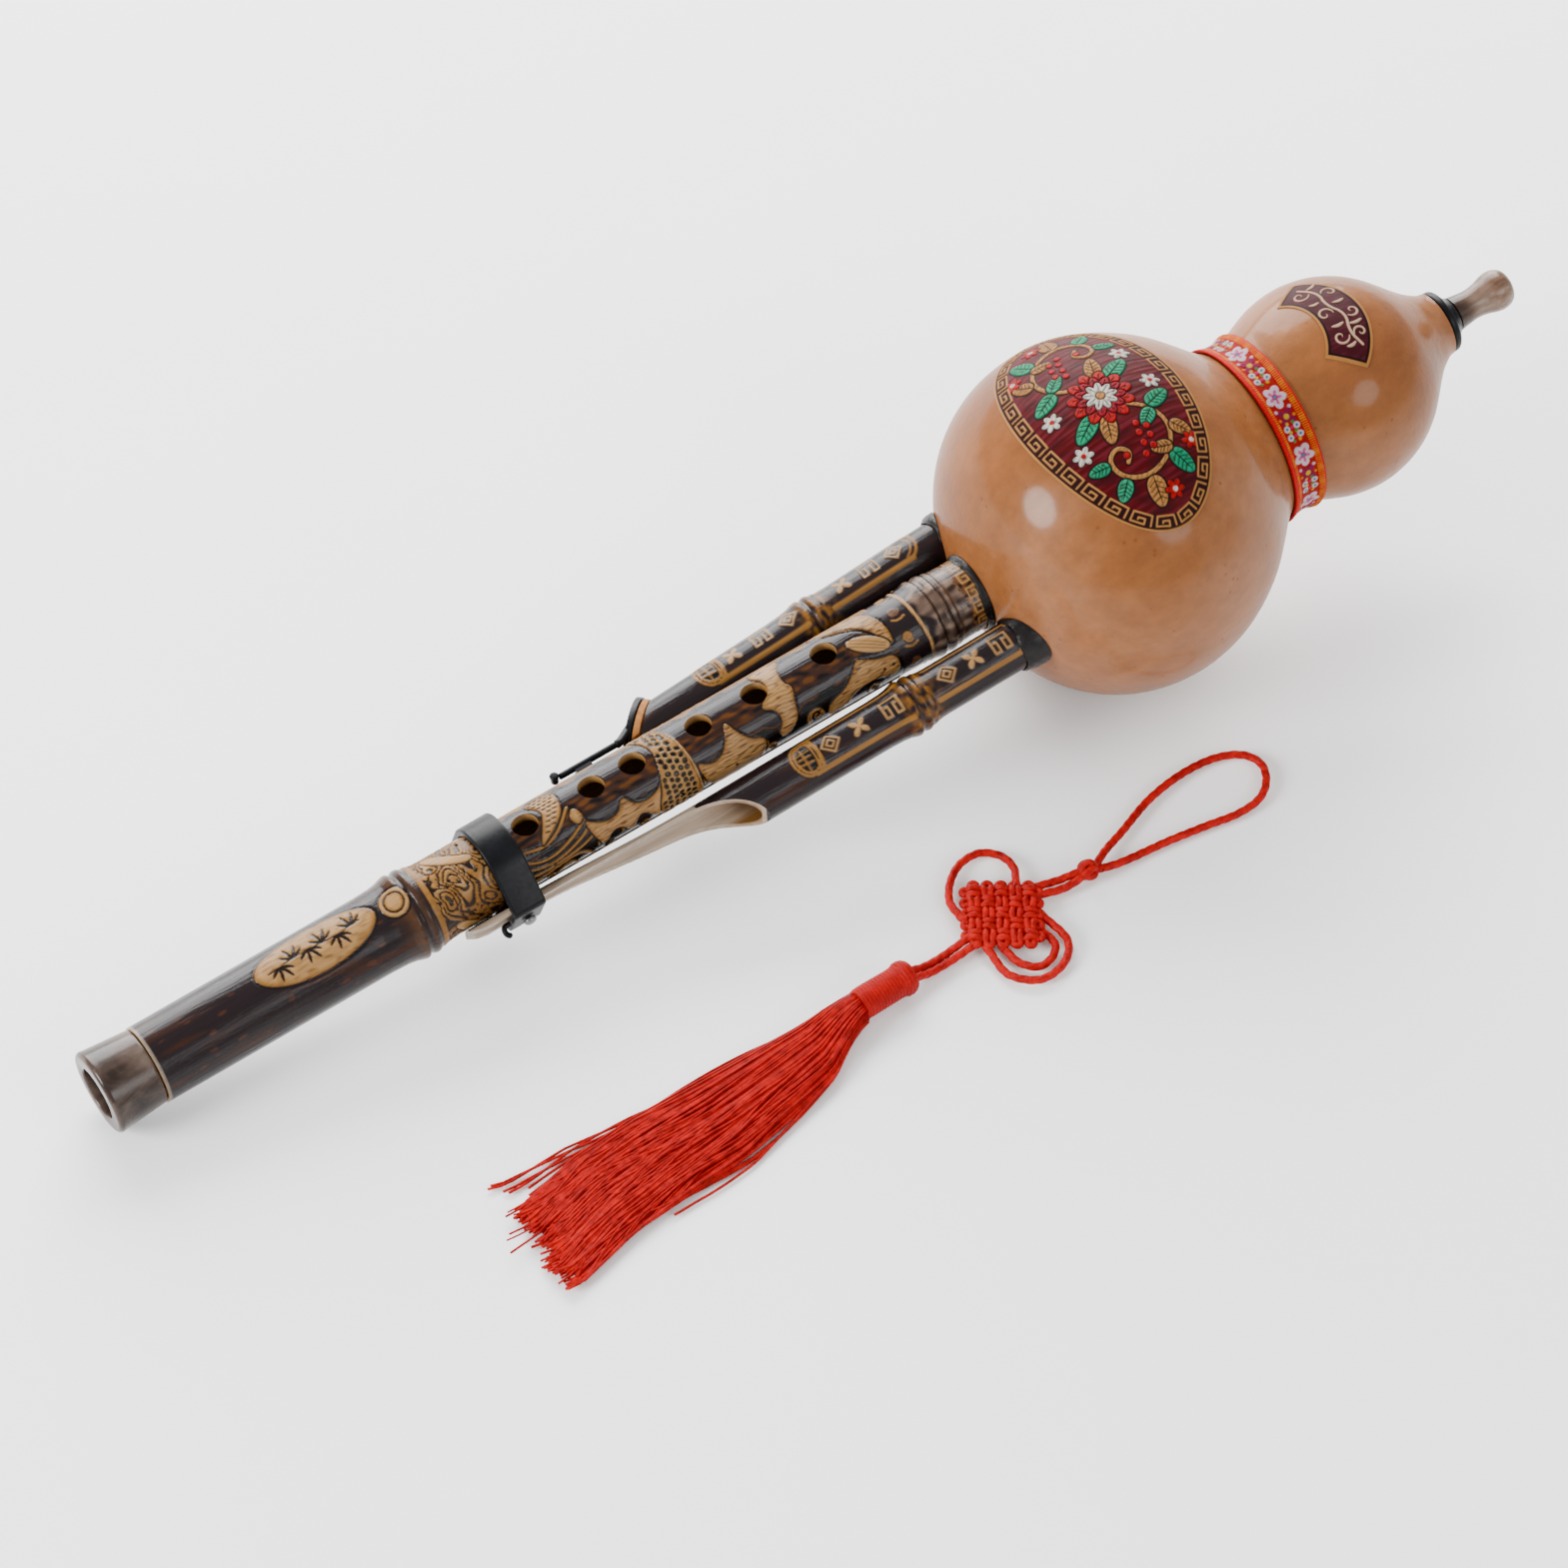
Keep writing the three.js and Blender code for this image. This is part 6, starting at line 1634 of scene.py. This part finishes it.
pad = slanted("valve_pad_plate", "valve_pad",
              [(pad_low, 0.25), (pad_low + 0.05, 0.06), (pad_low + 0.2, 0),
               (pad_top - 0.25, 0), (pad_top - 0.08, 0.08), (pad_top, 0.3)], 0.4)
arm_path = [(LUG + 0.7, *ROD), (LUG + 1.6, *ROD), drone_point(far, pad_back(1, 0.75), 1.0, 5.2)]
co, *faces = tube(route(arm_path, 0.3)[0], 1.25, 24)
arm = instrument_piece("valve_arm", co, faces, "valve_pad", "drone_valve")
cork = slanted("valve_cork_disc", "valve_cork",
               [(CORK_LOW, 0.2), (CORK_LOW + 0.06, 0.05), (CORK_LOW + 0.2, 0),
                (cork_top - 0.2, 0), (cork_top - 0.06, 0.05), (cork_top, 0.2)], 0.0)

stations = np.linspace(LUG - ROD_FIT - ROD_LONG, LUG + 1, 30)
path = np.stack([stations, np.full(30, ROD[0]), np.full(30, ROD[1])], 1)
thick = np.full(30, ROD_R)
thick[[0, -1]] = 0.8
co, *faces = tube(path, thick, 24)
rod = instrument_piece("valve_rod_wire", co, faces, "valve_rod", "drone_valve")

knob_x = LUG - 2 * ROD_FIT - ROD_LONG - KNOB_R * 0.8
shape = softened([(-1, 0.02), (-1, 0.8), (0.5, 0.8), (0.7, 1), (1, 0.7), (1, 0.02)], 0.2)
points, faces = spun((knob_x, ROD[0], ROD[1] + 0.55), (0, 0, 1), shape * (KNOB_HALF, KNOB_R), 32)
knob = instrument_piece("valve_knob_cap", points, faces, "valve_knob", "drone_valve", 50)


# ---------------------------------------------------------------- button knot and woven knot
BUTTON = np.array([41.6, -72.2, 3.25])
BALL = 2.1
parts = []
for k in range(3):
    a = circle(60)
    lean = k * np.pi / 3 + 0.3
    wob = 0.32 * np.sin(2 * a + k)
    p = np.stack([BALL * np.cos(a), BALL * np.sin(a) * math.cos(lean) - wob * math.sin(lean),
                  BALL * np.sin(a) * math.sin(lean) + wob * math.cos(lean)], 1)
    p = np.vstack([p, p[:1] * 0.995])
    parts.append(tube(p + BUTTON, 1.08, 20, braid))
parts += roots(BUTTON, 2, LOOP[:2], LOOP[:-3:-1])
co, *faces = join(parts)
button = build("button_knot_cord", co / 1000, faces)
settle(button, "button_knot", "tassel")

# woven knot: five pairs of strands each way, joined by a bend at each end
KNOT, TURN = np.array([12.9, -72.2, 2.75]), -0.56
PITCH, HALF, PAIR, STRAND = 3.8, 9.0, 0.93, 0.97
parts = []
for layer, order in enumerate(([0, 1, 2], [1, 0, 2])):
    for i in range(5):
        for side in (-1, 1):
            s = np.linspace(-HALF - 1.0, HALF + 1.0, 60)
            lift = 1.05 * np.cos(np.pi * s / PITCH + np.pi * (i + layer))
            sag = np.clip((np.abs(s) - HALF + 0.5) / 1.5, 0, 1)
            across = (i - 2) * PITCH + side * PAIR + 0.16 * np.sin(s * 1.1 + 2.1 * i + side)
            q = np.stack([s, across, KNOT[2] + lift * (1 - sag)], 1)
            parts.append(tube(q[:, order], STRAND, 16,
                              lambda along, turn: 0.12 * np.abs(np.cos(1.5 * turn + along)) - 0.07))
    for i in range(5):
        for end in (-1, 1):
            a = np.linspace(-np.pi / 2, np.pi / 2, 14)
            q = np.stack([end * (HALF + 0.9 + PAIR * np.cos(a)), (i - 2) * PITCH + PAIR * np.sin(a),
                          np.full(14, KNOT[2])], 1)
            parts.append(tube(q[:, order], STRAND, 16))
co, *faces = join(parts)
c, s = math.cos(TURN), math.sin(TURN)
co = np.stack([co[:, 0] * c - co[:, 1] * s + KNOT[0], co[:, 0] * s + co[:, 1] * c + KNOT[1], co[:, 2]], 1)
ears = [end for ear in (RING_EAR, INNER_EAR, OUTER_EAR) for end in (ear[:2], ear[:-3:-1])]
necks, tails = [neck[:-3:-1] for neck in NECKS], [tail[:2] for tail in TAILS]
co, *faces = join([(co, *faces), *roots(KNOT, 3, *ears, *necks, *tails)])
knot = build("woven_knot", co / 1000, faces)
settle(knot, "knot_body", "tassel")


# ---------------------------------------------------------------- tassel head and fringe
HEAD, HEAD_LONG, HEAD_R = (-20.6, -77.4), 18.5, 4.7
share = [(0, 0.02), (0, 0.6), (0.02, 0.8), (0.05, 0.96), (0.12, 1.08), (0.2, 1.08), (0.25, 1.0), (0.3, 0.97),
         (0.94, 0.97), (0.985, 0.92), (1, 0.8), (1, 0.02)]
curve = route([(HEAD_LONG * a, HEAD_R * b, 0) for a, b in share], 0.12)[0][:, :2]
wound = 0.24 * np.abs(np.sin(curve[:, 0] * np.pi / 1.05)) * np.clip(curve[:, 1] - 3, 0, 1)
curve[:, 1] += wound - 0.2
a = circle(64)
c, s = math.cos(math.pi + 0.08), math.sin(math.pi + 0.08)
x, r = curve[:, :1], curve[:, 1:]
p = np.stack(np.broadcast_arrays(x * c + r * np.sin(a) * s, x * s - r * np.sin(a) * c, r * np.cos(a) + 0 * x), -1)
p += (*HEAD, HEAD_R * 1.08)
tassel_top = build("tassel_head_winding", p / 1000, [grid_faces(len(curve), len(a)), lids(len(curve), len(a))])
settle(tassel_top, "tassel_head", "tassel")

# the fringe's middle line, half width and half height along its length
FRINGE = np.array([
    (-39.6, -79, 4.7, 4.7), (-47, -81, 6.6, 4.4), (-56, -84.2, 9, 3.7), (-70, -86.4, 10.6, 3.2),
    (-90, -89.4, 12.6, 2.8), (-110, -91, 13.4, 2.4), (-130, -94, 14, 2.1), (-150, -99.6, 14.6, 1.8)])
rng = np.random.default_rng(20)


FRINGE_START, FRINGE_END = -38.6, -150


def fringe_at(x):
    return [np.interp(-x, -FRINGE[:, 0], FRINGE[:, k]) for k in (1, 2, 3)]


def strand(u, w, reach, radius, bend, swing, ripple, phase, loose=0.0, spread=0.0, points=34):
    """One thread from the head out to reach; loose and spread carry it beyond the fringe's outline."""
    x = np.linspace(FRINGE_START, reach, points)
    y, half, high = fringe_at(x)
    t = (x - x[0]) / (FRINGE_END - x[0])
    across = u + bend * t ** 2 + swing * np.sin(np.pi * 1.3 * t + phase) * t + ripple * np.sin(phase + 13 * t) * t
    bow = np.sin(np.pi * np.clip(t, 0, 1)) ** 1.4 * (1 + 0.3 * np.sin(phase + 5 * t))
    beyond = (1 if u > 0 else -1) * (loose * bow + spread * t ** 3)
    across = np.clip(across, -1.04, 1.04) * (half - 0.3) + beyond
    dome = np.sqrt(np.clip(1 - (across / half) ** 2, 0.05, 1))
    z = high * 0.75 + (high - 0.3) * np.clip(w + 0.2 * np.sin(phase * 3 + 9 * t), -0.72, 1.15) * dome
    z *= np.clip(1.3 - np.abs(beyond) / 3, 0.1, 1)
    return tube(np.stack([x, y + across, np.maximum(z, 0.3)], 1), radius, 4)


parts = []
for bunch in range(56):
    r, angle = math.sqrt(rng.uniform(0.02, 1)), rng.uniform(0, 2 * np.pi)
    centre = r * math.cos(angle), r * math.sin(angle)
    reach, bend, swing = FRINGE_END + rng.normal(0, 2.4), rng.normal(0, 0.16), rng.normal(0, 0.2)
    for k in range(7):
        parts.append(strand(centre[0] + rng.normal(0, 0.05), centre[1] + rng.normal(0, 0.12),
                            reach + rng.normal(0, 0.9), rng.uniform(0.34, 0.48), bend + rng.normal(0, 0.04),
                            swing + rng.normal(0, 0.05), rng.normal(0, 0.05), rng.uniform(0, 6.28)))
for k in range(90):
    parts.append(strand(rng.uniform(-1, 1), rng.uniform(0.4, 1.15), FRINGE_END + rng.normal(1, 5),
                        rng.uniform(0.28, 0.38), rng.normal(0, 0.4), rng.normal(0, 0.3), rng.normal(0, 0.07),
                        rng.uniform(0, 6.28)))
for k in range(10):
    parts.append(strand(rng.uniform(0.7, 1), 0.2, -146 + rng.normal(0, 6), 0.45, 0, 0, 0.03, rng.uniform(0, 6.28),
                        rng.uniform(1.2, 5.6), rng.uniform(0, 6)))
for k in range(5):
    parts.append(strand(0.9, 0.1, -152 + rng.normal(0, 4), 0.45, 0, 0, 0.05, rng.uniform(0, 6.28), rng.uniform(0, 2.5),
                        rng.uniform(5, 14)))
for k in range(9):
    parts.append(strand(rng.uniform(-1, -0.8), 0.0, -128 + rng.normal(0, 9), 0.45, 0, 0, 0.03, rng.uniform(0, 6.28),
                        rng.uniform(1, 4), 0))
co, *faces = join(parts)
fringe = build("fringe_threads", co / 1000, faces)
settle(fringe, "tassel_fringe", "tassel")


# ---------------------------------------------------------------- the bamboo pieces
for piece, name in ((pipe, "melody_pipe"), (near_drone, "near_drone_pipe"), (far_drone, "far_drone_pipe")):
    settle(piece, name)
    crease(piece)


# ---------------------------------------------------------------- finishes
for piece, name in ((pipe, "pipe"), (near_drone, "near_drone"), (far_drone, "far_drone")):
    wear(piece, painted_look(name + "_lacquer", dull=0.42, gloss=0.17, depth=0.00015, shine=0.17))


def plain_look(name, low, high, rough=(0.2, 0.3), size=200, grain=900, depth=0.00002, **sockets):
    """A uniform stuff: a soft change of colour, a change of gloss and a fine bump."""
    look = Look(name, **sockets)
    soft = look.noise(look.here, size, 3.0, 0.5)
    fine = look.noise(look.here, grain, 4.0, 0.6)
    look.colour(look.ramp(soft, [(0.35, low), (0.65, high)]))
    look.rough(look.ramp(fine, [(0.3, rough[0]), (0.7, rough[1])]))
    look.bump((fine, depth))
    return look


black = plain_look("polished_black", "#0d0e11", "#17181c", (0.3, 0.42), Specular_IOR_Level=0.12)
wax = plain_look("black_wax", "#100e0e", "#241e1d", (0.25, 0.5), 300, 500, 0.00035, Specular_IOR_Level=0.2)
nickel = plain_look("nickel", "#a9abad", "#c6c7c8", (0.18, 0.32), 400, 2500, 0.00001, Metallic=1.0)
brass = plain_look("brass", "#b08a3c", "#c9a14f", (0.28, 0.42), 300, 2200, 0.00001, Metallic=1.0)
cork_look = plain_look("cork", "#b0713f", "#cf925c", (0.75, 0.9), 900, 1600, 0.0002)
for piece in (collar, band, hook, pad, arm, rod, knob):
    wear(piece, black)
for piece in seals:
    wear(piece, wax)
wear(screw, nickel)
wear(cork, cork_look)


def horn(name, tones, streak, span, tone_and_highlight):
    """Cloudy polished horn, its colour scaled by (share, factor) stops over a span of stations: the horn's own tone,
    with painted highlights where a piece's rim is lit.
    """
    look = Look(name, Subsurface_Weight=0.1, Subsurface_Scale=0.003, Specular_IOR_Level=0.22)
    streaks = look.noise(look.stretch(streak), 1.0, 4.0, 0.55, 0.6)
    cloud = look.noise(look.stretch((90, 110, 110)), 1.0, 3.0, 0.5, 0.8)
    base = look.ramp(look.mix(0.6, streaks, cloud), tones)
    look.colour(look.mix(1.0, base, look.ramp(look.along(*span), tone_and_highlight), "MULTIPLY"))
    look.rough(look.ramp(streaks, [(0.3, 0.16), (0.7, 0.3)]))
    look.bump((streaks, 0.00004))
    return look


# the ferrule is lighter at its rounded front rim, a painted highlight, and towards its back edge
wear(ferrule, horn(
    "ferrule_horn_look", [(0.34, "#251b17"), (0.45, "#43352f"), (0.56, "#66574f"), (0.7, "#8d7f76")],
    (60, 160, 160), (0, 15.5), [(0, 1.0), (0.12, 0.7), (0.45, 0.62), (0.7, 0.9), (1, 1.1)]))
# the mouthpiece's stops are its own tone: dark brown by the collar, lighter over the bell
wear(mouthpiece, horn(
    "mouthpiece_horn_look", [(0.34, "#664d41"), (0.46, "#977c6c"), (0.56, "#b59c8d"), (0.68, "#d5c0b1")],
    (50, 420, 420), (NECK_END + 5.9, NECK_END + 25),
    [(0, 0.22), (0.16, 0.35), (0.34, 0.85), (0.75, 1.0), (1, 0.75)]))


def satin(name, low, high, size, depth):
    """Silky thread: two soft mottlings between a low and a high colour, and a fine bump."""
    look = Look(name, Specular_IOR_Level=0.1)
    fibres = look.noise(look.here, size, 4.0, 0.65)
    soft = look.noise(look.here, 260, 3.0, 0.6)
    stops = [(0.38, low), (0.62, high)]
    look.colour(look.mix(0.5, look.ramp(fibres, stops), look.ramp(soft, stops)))
    look.rough(look.ramp(fibres, [(0.3, 0.36), (0.7, 0.56)]))
    look.bump((fibres, depth))
    return look


cord_look = satin("red_cord", "#a8040f", "#f72a2c", 700, 0.0003)
thread_look = satin("red_threads", "#9a0616", "#f0242c", 500, 0.0001)
winding_look = satin("red_winding", "#a80a16", "#dc2229", 1800, 0.00008)
for piece in [*cords, button, knot]:
    wear(piece, cord_look)
wear(tassel_top, winding_look)
wear(fringe, thread_look)
wear(nodes["valve_guide"], black)
for name in ("melody", "near", "far"):
    wear(nodes[name + "_reed_plate"], brass)
    wear(nodes[name + "_reed_tongue"], brass)
    wear(nodes[name + "_end_plug"], wax)


# ---------------------------------------------------------------- floor, light
floor_mesh = bpy.data.meshes.new("floor")
floor_mesh.from_pydata([(-6, -6, 0), (6, -6, 0), (6, 6, 0), (-6, 6, 0)], [], [(0, 1, 2, 3)])
floor = bpy.data.objects.new("floor", floor_mesh)
bpy.context.scene.collection.objects.link(floor)
floor.location.z = -0.0008
paper = Look("floor_paper", Roughness=0.85)
tint = paper.noise(paper.here, 6, 3, 0.5)
paper.colour(paper.ramp(tint, [(0.3, 0.94), (0.7, 0.97)]))
wear(floor, paper)

world = bpy.data.worlds.new("room")
world.use_nodes = True
world.node_tree.nodes["Background"].inputs["Color"].default_value = (1, 1, 1, 1)
world.node_tree.nodes["Background"].inputs["Strength"].default_value = 1.0
bpy.context.scene.world = world


def softbox(name, centre, aim, width, height, radiance, shape="RECTANGLE"):
    """An area light of an even radiance, pointed at a place."""
    data = bpy.data.lights.new(name, "AREA")
    data.shape = shape
    data.size, data.size_y = width, height
    data.energy = radiance * math.pi * width * height * (1 if shape == "RECTANGLE" else math.pi / 4)
    lamp = bpy.data.objects.new(name, data)
    bpy.context.scene.collection.objects.link(lamp)
    lamp.location = centre
    lamp.rotation_euler = (Vector(aim) - Vector(centre)).to_track_quat("-Z", "Y").to_euler()


softbox("back_softbox", (0.47, 1.25, 0.75), (-0.05, 0, 0.05), 1.5, 1.25, 16)
softbox("front_softbox", (0.45, -1.45, 1.0), (0, 0, 0.05), 0.85, 0.75, 8, "ELLIPSE")
softbox("left_window", (-1.55, 0.17, 0.8), (0.08, 0, 0.06), 0.74, 0.74, 34, "ELLIPSE")

bpy.context.view_layer.update()
